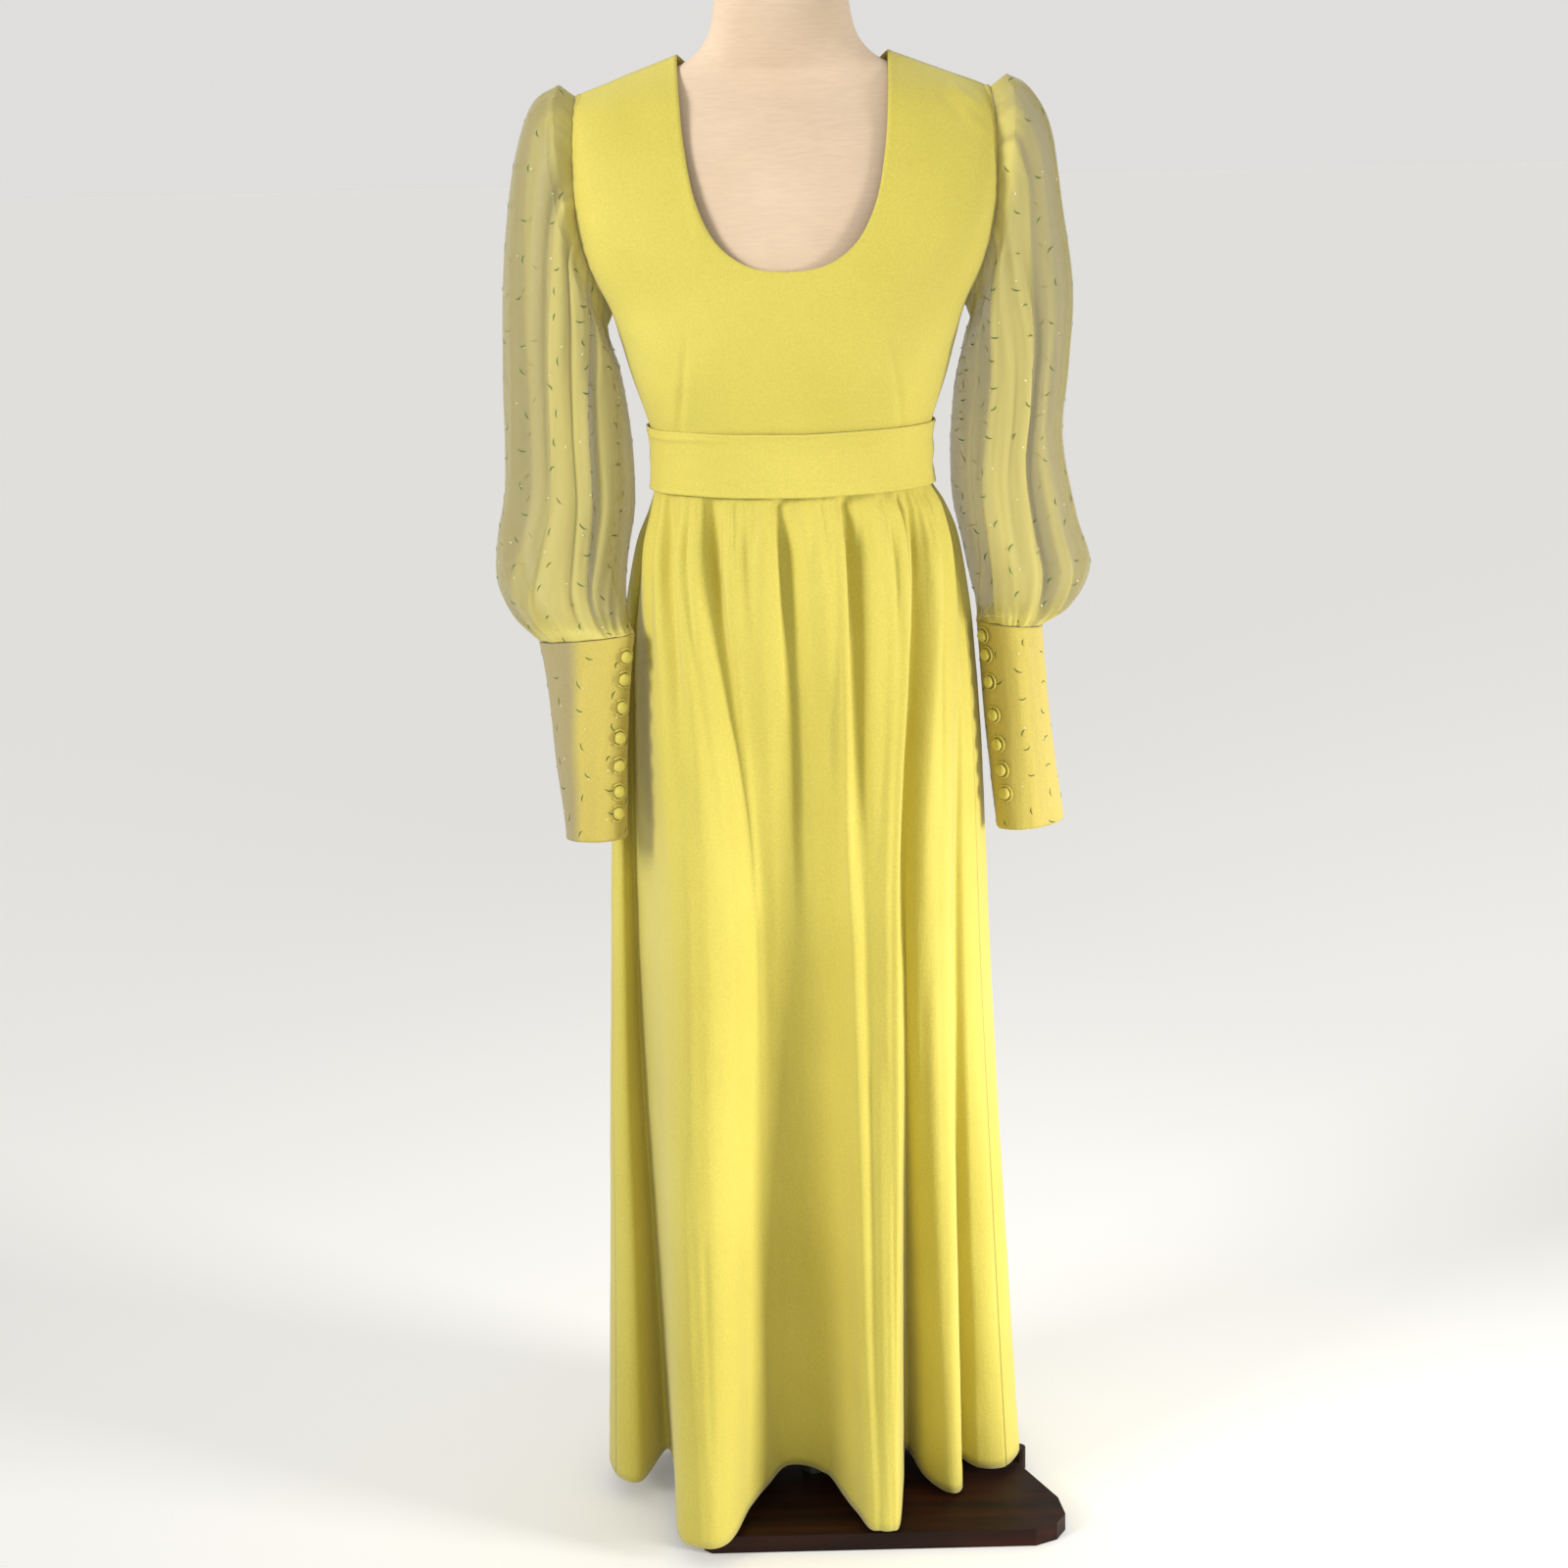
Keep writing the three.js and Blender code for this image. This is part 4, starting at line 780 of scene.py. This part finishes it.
skirt_panel("skirt_front", LEFT_SIDE_ROW, RIGHT_SIDE_ROW + ONCE_ROUND, 21)
skirt_panel("skirt_back_right", RIGHT_SIDE_ROW, CENTRE_BACK_ROW, 31)
skirt_panel("skirt_back_left", CENTRE_BACK_ROW, LEFT_SIDE_ROW, 41)


# ---- Sash ----
SASH_COLUMNS = 420
SASH_ROWS = 34
ROLL_BEARING = -62
SIDE_BEARING = 86


def sash():
    """The plain sash, with a soft roll at its left front and creases that fan out at its sides."""
    t = np.linspace(0, len(SASH["z"]) - 1, SASH_ROWS)[:, None]
    share = np.linspace(0, 1, SASH_ROWS)[:, None]
    bearing = np.linspace(-180, 180, SASH_COLUMNS, endpoint=False)[None, :]
    side, front, back, z = (smooth(SASH, key, t) for key in ("side", "front", "back", "z"))
    x, y = oval_point(side, front, back, bearing)
    dip = 1.6 * wander(51, bearing / 40.0, z * 0) * (1 - np.abs(2 * share - 1))
    points = stacked(x, y, z + dip + 0.8 * wander(52, bearing / 25.0, z * 0))
    left_fold = bell((bearing - ROLL_BEARING) / 34)
    relief = 1.6 * bell((share - (0.93 - 0.05 * left_fold)) / 0.045) * left_fold
    relief = relief + 0.7 * bell((share - 0.985) / 0.03) + 0.7 * bell((share - 0.015) / 0.03)
    relief += 1.3 * bell((np.abs(bearing) - SIDE_BEARING) / 16) * wander(53, bearing / 9.0, share * 5.0)
    relief += 0.8 * wander(54, bearing / 30.0, share * 3.2) + 0.3 * wander(55, bearing / 8.0, share * 7.0)
    points = moved_out(points, True, np.maximum(relief, -0.25) + 0.2)
    cloth("sash", points, True, DOUBLED, CREPE_FINISH)


sash()


# ---- Sleeves and cuffs ----
SLEEVE_COLUMNS = 220
SLEEVE_ROWS_PER_STEP = 12
CUFF_COLUMNS = 144
CUFF_ROWS_PER_STEP = 14
PUCKERS = 11
PUCKER_DEPTH = 2.2
ARMHOLE_CLEAR = 1.2


def ring_point(rings, t, turn, drawn=0.0):
    """A point round a sleeve or cuff, drawn in towards its middle. Turn 0 is its outer side."""
    ring = {key: smooth(rings, key, t) for key in rings}
    outer = stacked(ring["ox"], ring["oy"], ring["oz"])
    inner = stacked(ring["ix"], ring["iy"], ring["iz"])
    middle = (outer + inner) / 2
    chord = outer - middle
    flat = np.hypot(chord[..., 0], chord[..., 1])
    hand = np.sign(chord[..., 0])
    forward = stacked(hand * chord[..., 1] / flat, -hand * chord[..., 0] / flat, 0)
    angle = np.radians(turn)
    out = chord * np.cos(angle)[..., None] + forward * (ring["depth"] * np.sin(angle))[..., None]
    kept = 1 - drawn / np.linalg.norm(out, axis=-1)
    bow = stacked(hand * ring["bow"] * np.abs(np.sin(angle)), 0, 0)
    return middle + bow + out * np.asarray(kept)[..., None]


def armhole_point(turn, hand):
    around = np.abs(turn_between(turn, 0)) / 180
    t = SHOULDER_ROW - around * (SHOULDER_ROW - ARMPIT_ROW)
    front = turn < 180
    depth = np.where(front, smooth(EDGE, "front", t), smooth(EDGE, "back", t))
    depth = np.maximum(depth, 0) * ease(t, ARMPIT_ROW, ARMPIT_ROW + 0.4)
    x = hand * (smooth(EDGE, "x", t) + ARMHOLE_CLEAR)
    return stacked(x, np.where(front, -1, 1) * depth, smooth(EDGE, "z", t))


def fold_turn(fold, row, last, edge=""):
    """Turn of a fold at a row: it runs from its place at the cap to the middle and the cuff."""
    upper = mix(fold["cap" + edge], fold["middle" + edge], ease(row, 0, SLEEVE_MIDDLE))
    return mix(upper, fold["cuff" + edge], ease(row, SLEEVE_MIDDLE, last))


def sleeve_folds(folds, turn, row, last):
    depth = np.zeros(np.broadcast(turn, row).shape)
    for fold in each(folds):
        off = turn_between(turn, fold_turn(fold, row, last)) / fold["width"]
        first, end = fold["start"], fold["end"]
        span = ease(row, first, first + 2) * (1 - ease(row, end - 1.5, end))
        depth += fold["depth"] * span * bell(off)
    return depth


def sleeve_grid(rings, folds, hand):
    """A sleeve's surface from the armhole's seam to the cuff, with its turns and rows."""
    last = len(rings["ox"])
    row = np.linspace(0, last, last * SLEEVE_ROWS_PER_STEP + 1)[:, None]
    turn = np.linspace(0, 360, SLEEVE_COLUMNS, endpoint=False)[None, :]
    near = np.maximum(1 - ease(row, 0.5, 3), ease(row, last - 2, last - 0.5))
    pucker = PUCKER_DEPTH * near * (0.5 - 0.5 * np.cos(np.radians(turn * PUCKERS)))
    drawn = sleeve_folds(folds, turn, row, last) + pucker
    seam = armhole_point(turn + 0 * row, hand)
    body = ring_point(rings, np.maximum(row - 1, 0) + 0 * turn, turn + 0 * row, drawn)
    first = ease(row, 0, 1) * 0.35 + np.clip(row, 0, 1) * 0.65
    return mix(seam, body, np.clip(first, 0, 1)[..., None]), turn, row, last


# Lips of the folds and thin lines between them; negative ones are troughs.
LEFT_LINES = table(
    "cap middle cuff width depth start end",
    (30, 57, 50, 3, 1.4, 1, 9), (86, 77, 67, 2.4, 2.6, 0, 10.5), (109, 102, 122, 2.2, 3.0, 0, 11),
    (130, 112, 131, 2.2, 2.6, 0, 10.5), (142, 128, 141, 2.4, 2.8, 0, 11), (118, 106, 127, 2, -1.2, 2, 9),
    (60, 66, 58, 2.4, 1.2, 6, 11), (96, 88, 92, 2, 2.2, 7.5, 11), (100, 92, 104, 2, -2.0, 8, 11),
    (152, 146, 150, 2.6, 1.6, 5, 11), (170, 165, 166, 3, 2.0, 7.5, 11), (20, 24, 34, 3, 2.0, 8.5, 11),
    (8, 6, 14, 3, 1.8, 9, 11), (206, 214, 200, 2.6, 2.6, 0, 10.5), (222, 232, 216, 2.4, 2.2, 0, 11),
    (238, 248, 233, 2.2, 2.8, 0, 11), (256, 264, 249, 2.4, 2.4, 0, 10.5), (284, 282, 292, 2.6, 2.0, 1, 11),
    (306, 296, 304, 2.6, 1.6, 2, 10), (330, 322, 326, 3, 1.6, 6, 11), (346, 344, 342, 3, 1.8, 8.5, 11),
    (318, 310, 314, 2.4, 2.4, 0, 10), (344, 336, 340, 2.2, 2.2, 1, 11), (2, 358, 4, 2.6, 2.0, 0, 7),
)
RIGHT_LINES = table(
    "cap middle cuff width depth start end",
    (68, 60, 52, 2.4, 2.2, 1, 8), (90, 58, 78, 2.2, 3.0, 6, 11), (106, 76, 105, 2.2, 2.8, 2.5, 11),
    (114, 96, 124, 2, 1.8, 1, 10), (102, 84, 110, 2, -1.4, 2, 8), (112, 114, 150, 2.4, 2.8, 0, 11),
    (132, 134, 172, 2.4, 2.0, 0, 9), (124, 104, 136, 2, 1.6, 5, 11), (40, 46, 62, 2.4, 2.4, 6.5, 11),
    (30, 30, 44, 3, 1.8, 8, 11), (10, 12, 24, 3, 2.0, 8.5, 11), (150, 152, 160, 2.6, -1.6, 3, 9),
    (206, 218, 196, 2.6, 2.6, 0, 10.5), (222, 234, 212, 2.4, 2.2, 0, 11), (236, 245, 229, 2.2, 2.8, 0, 11),
    (254, 261, 245, 2.4, 2.4, 0, 10.5), (290, 279, 286, 2.6, 2.0, 1, 11), (322, 313, 326, 2.6, 1.6, 2, 10),
    (336, 332, 338, 3, 1.8, 8, 11), (340, 334, 328, 2.4, 2.4, 0, 10), (358, 352, 354, 2.2, 2.2, 1, 11),
    (14, 20, 16, 2.6, 2.0, 0, 7),
)
# Stretches where the cloth lies doubled in a pleat, from one turn to another.
LEFT_PLEATS = table(
    "cap_from cap_to middle_from middle_to cuff_from cuff_to full",
    (86, 134, 76, 113, 67, 133, 0.5), (140, 182, 122, 180, 139, 178, 0.36), (34, 86, 57, 76, 48, 67, 0.24),
    (206, 238, 214, 248, 200, 233, 0.35), (256, 306, 264, 296, 249, 304, 0.2),
    (318, 344, 310, 336, 314, 340, 0.3),
)
RIGHT_PLEATS = table(
    "cap_from cap_to middle_from middle_to cuff_from cuff_to full",
    (60, 114, 72, 114, 92, 152, 0.52), (40, 56, 46, 56, 60, 76, 0.3), (114, 132, 114, 132, 152, 172, 0.1),
    (206, 236, 218, 245, 196, 229, 0.15), (254, 322, 261, 313, 245, 326, 0.2),
    (340, 358, 334, 352, 328, 354, 0.3),
)
PLEAT_EDGE = 3.4
LINE_HEIGHT = 0.65
LINE_WIDTH = 1.3
PLEAT_STEP = 1.3


def sleeve_lines(lines, turn, row, last):
    height = np.zeros(np.broadcast(turn, row).shape)
    for i, line in enumerate(each(lines)):
        sway = 1.5 * np.sin(row * 1.3 + i)
        off = turn_between(turn, fold_turn(line, row, last) + sway) / (LINE_WIDTH * line["width"])
        first, end = line["start"], line["end"]
        span = ease(row, first - 0.5, first + 2) * (1 - ease(row, end - 1.2, end + 0.3))
        height += LINE_HEIGHT * line["depth"] * span * bell(off)
    return height


def doubled_share(pleats, turn, row, last):
    """How much of a second layer lies on the cloth, from 0 to 1."""
    share = np.zeros(np.broadcast(turn, row).shape)
    for pleat in each(pleats):
        near, far = (fold_turn(pleat, row, last, edge) for edge in ("_from", "_to"))
        inside = ease(turn - near, -PLEAT_EDGE, PLEAT_EDGE) * ease(far - turn, -PLEAT_EDGE, PLEAT_EDGE)
        share = np.maximum(share, pleat["full"] * inside)
    return share


def wander_round(seed, turn, radius, along):
    """Smooth random values round a sleeve or cuff, finer for a larger radius."""
    angle = np.radians(turn)
    return wander(seed, np.cos(angle) * radius, np.sin(angle) * radius, along)


def sleeve(name, rings, tables, hand, seed):
    """A sheer sleeve with its pleats, finely gathered at both ends."""
    folds, lines, pleats = tables
    points, turn, row, last = sleeve_grid(rings, folds, hand)
    ends = np.maximum(1 - ease(row, 0.0, 2.6), ease(row, last - 1.6, last))
    fine = wander_round(seed, turn, 9, row / 2.2)
    long = wander_round(seed + 1, turn, 3.5, row / 5.0)
    doubled = doubled_share(pleats, turn, row, last) * ease(row, -1, 1)
    crease = sleeve_lines(lines, turn, row, last)
    relief = 1.6 * fine * ends + 0.4 * fine + 1.8 * long * (1 - ends) + crease + PLEAT_STEP * doubled
    relief *= ease(row, 0, 0.25) * mix(0.35, 1, 1 - ease(row, last - 0.4, last))
    centre = points.mean(axis=1)
    points = moved_out(points, True, relief, centre)
    gathered = np.clip(0.6 * ends**2 + doubled + 0.05 * np.abs(crease) - 0.05 * fine, 0, 1)
    cloth(name, points, True, SHEER, SHEER_FINISH, centre, {"gathered": gathered})
    return points


def cuff(name, rings, shade_share, seed):
    """A cuff of two layers, whose outer side is darkened with painted shade, as much as the given share."""
    last = len(rings["ox"]) - 1
    row = np.linspace(0, last, last * CUFF_ROWS_PER_STEP + 1)[:, None]
    turn = np.linspace(0, 360, CUFF_COLUMNS, endpoint=False)[None, :]
    points = ring_point(rings, row + 0 * turn, turn + 0 * row, 1.0)
    points[..., 2] -= (1 - ease(row, 0, 0.3)) * (SEAM + 0.6)
    soft = wander_round(seed, turn, 2.5, row / 1.3)
    fine = wander_round(seed + 1, turn, 7, row * 1.4)
    hem = 0.5 * bell((row - last + 0.06) / 0.05) + 0.4 * bell(row / 0.05)
    centre = points.mean(axis=1)
    points = moved_out(points, True, soft + 0.3 * fine + hem, centre)
    # Painted shade on the cuff's outer side, fading out towards its front and its back.
    painted_shade = shade_share * ((1 - ease(turn, 85, 111)) + ease(turn, 300, 340))
    unshaded_share = np.clip(1 - painted_shade + 0.06 * soft, 0, 1)
    cloth(name, points, True, DOUBLED, CUFF_FINISH, centre, {"unshaded_share": unshaded_share})
    return points


# ---- Sprigs and dots ----
STITCH_STATIONS = 5
STITCH_SECTION = ((-0.5, 0), (0.5, 0), (0.32, 1), (-0.32, 1))
CUFF_CLEAR = 4
# Kind, thread, pitch, first row, shift, size (length, width, height and bend), least and most stretch.
PRINTS = (
    ("sprigs", SPRIG_THREAD, 27, 2, 0.18, (8.2, 1.35, 0.3, 1.4), (0.85, 1.1)),
    ("dots", DOT_THREAD, 52, 8, 0.3, (2.2, 1.5, 0.3, 0.0), (0.8, 1.3)),
)


def stitch_mesh(spots, size):
    """Small curved stitches, laid flat on the cloth. A spot is a place, a normal, a turn and a stretch."""
    verts, faces = [], []
    length, width, height, bend = size
    for place, normal, angle, stretch in spots:
        along = Matrix.Rotation(angle, 3, normal) @ normal.orthogonal().normalized()
        side = normal.cross(along)
        start = len(verts)
        for i in range(STITCH_STATIONS):
            share = i / (STITCH_STATIONS - 1) - 0.5
            taper = max(1 - (2 * abs(share)) ** 2.5, 0.18)
            centre = place + along * length * stretch * share + side * bend * (4 * share * share - 0.5)
            for across, up in STITCH_SECTION:
                verts.append(centre + side * across * width * taper + normal * up * height * taper)
        corners = len(STITCH_SECTION)
        faces += grid_faces(STITCH_STATIONS, corners, True, start, True)
        faces.append(list(range(start, start + corners)))
        faces.append(list(range(len(verts) - corners, len(verts)))[::-1])
    return verts, faces


def scatter(points, wall, pitch, count_around, rng, first_row, shift):
    """Staggered places on a closed grid with their normals, a pitch apart down its length."""
    centre = points.mean(axis=1)
    normal = normals_of(points, True, centre)
    outer = points + normal * (wall / 2 + 0.02)
    lengths = np.concatenate([[0], np.cumsum(np.linalg.norm(np.diff(centre, axis=0), axis=1))])
    rows, columns = points.shape[:2]
    spots = []
    for column in range(count_around):
        place = lengths[first_row] + (column % 2) * pitch / 2 + pitch * 0.3
        while place < lengths[-1] - CUFF_CLEAR:
            at = place + rng.uniform(-shift, shift) * pitch
            row = int(np.clip(np.searchsorted(lengths, at), 0, rows - 1))
            turn = (column + 0.5 + rng.uniform(-shift, shift)) / count_around
            index = int(turn * columns) % columns
            spots.append((Vector(outer[row, index]), Vector(normal[row, index])))
            place += pitch
    return spots


def printed(name, points, wall, count_around, rng, slot_name):
    """The small green and pale stitches on a sleeve or cuff."""
    for kind, thread, pitch, first_row, shift, size, stretch in PRINTS:
        spots = [
            (place, normal, rng.uniform(0, math.pi), rng.uniform(*stretch))
            for place, normal in scatter(points, wall, pitch, count_around, rng, first_row, shift)
        ]
        new_piece(f"{name}_{kind}", *stitch_mesh(spots, size), thread, slot_name)


# ---- Buttons and loops ----
BUTTON_COUNT = 7
BUTTON_SPAN = {
    "left": {"top": 0.5, "low": 3.3, "top_turn": 169, "low_turn": 173},
    "right": {"top": 0.35, "low": 3.15, "top_turn": 178, "low_turn": 153},
}
BUTTON_PROFILE = (
    (0.0, 0.0), (3.2, 0.0), (5.0, 0.6), (5.75, 1.7), (5.6, 2.9), (4.9, 4.0), (3.6, 4.8), (1.9, 5.2),
    (0.0, 5.3),
)
BUTTON_SEGMENTS = 22
BUTTON_TILT = 0.12
BUTTON_LIFT = 0.4
LOOP_REACH = 7.6
LOOP_CORD = 0.85
LOOP_TURN = 128
LOOP_STEPS = 24
LOOP_SIDES = 10
LOOP_LIFT = 0.9


def button_place(rings, span, number):
    """Foot of a button on the cuff, and the directions across, up and out from it."""
    share = number / (BUTTON_COUNT - 1)
    t = mix(span["top"], span["low"], share)
    turn = mix(span["top_turn"], span["low_turn"], share)

    def at(row, angle):
        return Vector(ring_point(rings, np.array(row), np.array(float(angle)))[()])

    middle = at(t, turn)
    above = (at(t - 0.1, turn) - middle).normalized()
    ahead = (at(t, turn + 4) - middle).normalized()
    out = ahead.cross(above).normalized()
    centre = (at(t, 90) + at(t, 270)) / 2
    if out.dot(middle - centre) < 0:
        out.negate()
    side = above.cross(out).normalized()
    return middle + out * (SEAM + 0.2), Matrix((side, above, out)).transposed()


def covered_button(rng):
    """A button's slightly uneven cloth cover, turned round the Z axis and then tilted a little."""
    verts = [Vector((0, 0, BUTTON_PROFILE[0][1]))]
    rings = [p for p in BUTTON_PROFILE if p[0] > 0]
    for k, (radius, height) in enumerate(rings):
        for i in range(BUTTON_SEGMENTS):
            angle = 2 * math.pi * i / BUTTON_SEGMENTS
            wave = 1 + 0.03 * math.sin(angle * 5 + k) + rng.uniform(-0.008, 0.008)
            verts.append(Vector((radius * wave * math.cos(angle), radius * wave * math.sin(angle), height)))
    verts.append(Vector((0, 0, BUTTON_PROFILE[-1][1])))
    faces = grid_faces(len(rings), BUTTON_SEGMENTS, True, 1)
    top = len(verts) - 1
    for i in range(BUTTON_SEGMENTS):
        j = (i + 1) % BUTTON_SEGMENTS
        faces.append([0, 1 + j, 1 + i])
        faces.append([top - BUTTON_SEGMENTS + i, top - BUTTON_SEGMENTS + j, top])
    tilt = Matrix.Rotation(rng.uniform(-BUTTON_TILT, BUTTON_TILT), 3, "X")
    tilt = tilt @ Matrix.Rotation(rng.uniform(-BUTTON_TILT, BUTTON_TILT), 3, "Y")
    return [tilt @ v + Vector((0, 0, BUTTON_LIFT)) for v in verts], faces


def rouleau_loop(number):
    """A round cord in an open ring about the Z axis, with flat ends."""
    path, verts = [], []
    for step in range(LOOP_STEPS + 1):
        angle = math.radians(mix(-LOOP_TURN, LOOP_TURN, step / LOOP_STEPS))
        reach = LOOP_REACH * (1 + 0.05 * math.sin(number * 1.7 + angle))
        path.append(Vector((reach * math.cos(angle), reach * math.sin(angle), LOOP_LIFT)))
    up = Vector((0, 0, 1))
    for i, p in enumerate(path):
        ahead = (path[min(i + 1, LOOP_STEPS)] - path[max(i - 1, 0)]).normalized()
        side = ahead.cross(up).normalized()
        for k in range(LOOP_SIDES):
            angle = 2 * math.pi * k / LOOP_SIDES
            verts.append(p + side * LOOP_CORD * math.cos(angle) + up * LOOP_CORD * math.sin(angle))
    faces = grid_faces(len(path), LOOP_SIDES, True)
    faces.append(list(range(LOOP_SIDES))[::-1])
    faces.append(list(range(LOOP_STEPS * LOOP_SIDES, len(verts))))
    return verts, faces


def sewn_on(node_name, kind, place, verts, faces):
    """Puts a piece made about the Z axis in its place on the cuff."""
    foot, base = place
    new_piece(f"{node_name}_{kind}", [foot + base @ v for v in verts], faces, *CREPE_FINISH, node_name)


def fasten(hand, rings, rng):
    """The covered buttons down a cuff, each with its loop."""
    for number in range(BUTTON_COUNT):
        place = button_place(rings, BUTTON_SPAN[hand], number)
        sewn_on(f"button_{hand}_{number + 1}", "cover", place, *covered_button(rng))
        sewn_on(f"loop_{hand}_{number + 1}", "cord", place, *rouleau_loop(number))


SLEEVE_AROUND = 11
CUFF_AROUND = 8
# How much painted shade lies on the outer side of each cuff.
LEFT_PAINTED_SHADE = 1
RIGHT_PAINTED_SHADE = 0.15
chance = random.Random(7)
for hand, sign, rings, tables, cuff_rings, shade_share in (
    ("left", -1, LEFT_SLEEVE, (LEFT_FOLDS, LEFT_LINES, LEFT_PLEATS), LEFT_CUFF, LEFT_PAINTED_SHADE),
    ("right", 1, RIGHT_SLEEVE, (RIGHT_FOLDS, RIGHT_LINES, RIGHT_PLEATS), RIGHT_CUFF, RIGHT_PAINTED_SHADE),
):
    points = sleeve(f"sleeve_{hand}", rings, tables, sign, 61 + sign)
    printed(f"sleeve_{hand}", points, SHEER, SLEEVE_AROUND, chance, "sheer")
    points = cuff(f"cuff_{hand}", cuff_rings, shade_share, 71 + sign)
    printed(f"cuff_{hand}", points, DOUBLED, CUFF_AROUND, chance, "cuff_cloth")
    fasten(hand, cuff_rings, chance)


# ---- Dress form and stand ----
FORM_COLUMNS = 180
FORM_ROWS_PER_STEP = 6


def dress_form():
    steps = len(FORM["z"]) - 1
    t = np.linspace(0, steps, steps * FORM_ROWS_PER_STEP + 1)[:, None]
    bearing = np.linspace(0, 360, FORM_COLUMNS, endpoint=False)[None, :]
    ring = {key: smooth(FORM, key, t) for key in FORM}
    x, y = oval_point(ring["side"], ring["front"], ring["back"], bearing)
    points = stacked(x, y + ring["lean"], ring["z"])
    faces = grid_faces(len(t), FORM_COLUMNS, True)
    bottom = list(range(FORM_COLUMNS))
    faces.append(bottom[::-1])
    faces.append([(len(t) - 1) * FORM_COLUMNS + i for i in bottom])
    new_piece("dress_form_cover", points.reshape(-1, 3), faces, *FORM_FINISH, "dress_form")


def finish_node(name, made, slot_name):
    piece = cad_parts[name]
    piece.data.materials.clear()
    piece.data.materials.append(made)


dress_form()
finish_node("stand_base", *WOOD_FINISH)
finish_node("stand_knob", *WOOD_FINISH)
finish_node("stand_pole", *POLE_FINISH)


# ---- Floor, light and camera, in metres, degrees and watts; the lens and sensor in millimetres ----
STUDIO_WHITE = (1.0, 0.99, 0.97)
WORLD_STRENGTH = 0.74
FLOOR_SIZE = 80
FLOOR_DROP = 0.0005
FLOOR = {
    "Base Color": (0.85, 0.85, 0.84, 1), "Roughness": 0.9,
    "Emission Color": (*STUDIO_WHITE, 1), "Emission Strength": 0.11,
}
# Name, place, target, size, spread, power and colour.
LIGHTS = (
    ("key_light", (-2.9, -1.9, 2.3), (-0.1, 0, 1.25), 1.3, 46, 10.3, (1.0, 0.99, 0.96)),
    ("fill_light", (0.6, -3.2, 2.4), (0, 0, 0.9), 1.6, 180, 1.2, STUDIO_WHITE),
    ("side_light", (2.5, -1.1, 0.75), (0.14, 0, 0.45), 0.7, 56, 10, (1.0, 0.97, 0.9)),
)
CAMERA_PLACE = (-0.0145, -2.5, 1.4)
CAMERA_PITCH = 14.6
CAMERA_ROLL = 1.4
CAMERA_LENS = 61.45
CAMERA_SENSOR = 36


def studio():
    bpy.ops.mesh.primitive_plane_add(size=FLOOR_SIZE, location=(0, 0, -FLOOR_DROP))
    floor = bpy.context.object
    floor.name = "studio_floor"
    floor.data.materials.append(material("studio_pale", FLOOR)[0])
    world = bpy.data.worlds.new("studio_world")
    bpy.context.scene.world = world
    world.use_nodes = True
    background = world.node_tree.nodes["Background"]
    background.inputs["Color"].default_value = (*STUDIO_WHITE, 1)
    background.inputs["Strength"].default_value = WORLD_STRENGTH
    for name, place, target, size, spread, power, colour in LIGHTS:
        light = bpy.data.lights.new(name, "AREA")
        light.size = size
        light.spread = math.radians(spread)
        light.energy = power
        light.color = colour
        lamp = bpy.data.objects.new(name, light)
        bpy.context.scene.collection.objects.link(lamp)
        lamp.location = place
        lamp.rotation_euler = (Vector(target) - Vector(place)).to_track_quat("-Z", "Y").to_euler()


def camera():
    data = bpy.data.cameras.new("camera")
    data.lens = CAMERA_LENS
    data.sensor_width = CAMERA_SENSOR
    eye = bpy.data.objects.new("camera", data)
    bpy.context.scene.collection.objects.link(eye)
    pitch = Matrix.Rotation(math.radians(90 - CAMERA_PITCH), 4, "X")
    roll = Matrix.Rotation(math.radians(-CAMERA_ROLL), 4, "Z")
    eye.matrix_world = Matrix.Translation(CAMERA_PLACE) @ pitch @ roll
    bpy.context.scene.camera = eye


studio()
camera()
bpy.context.scene.view_settings.view_transform = "Standard"
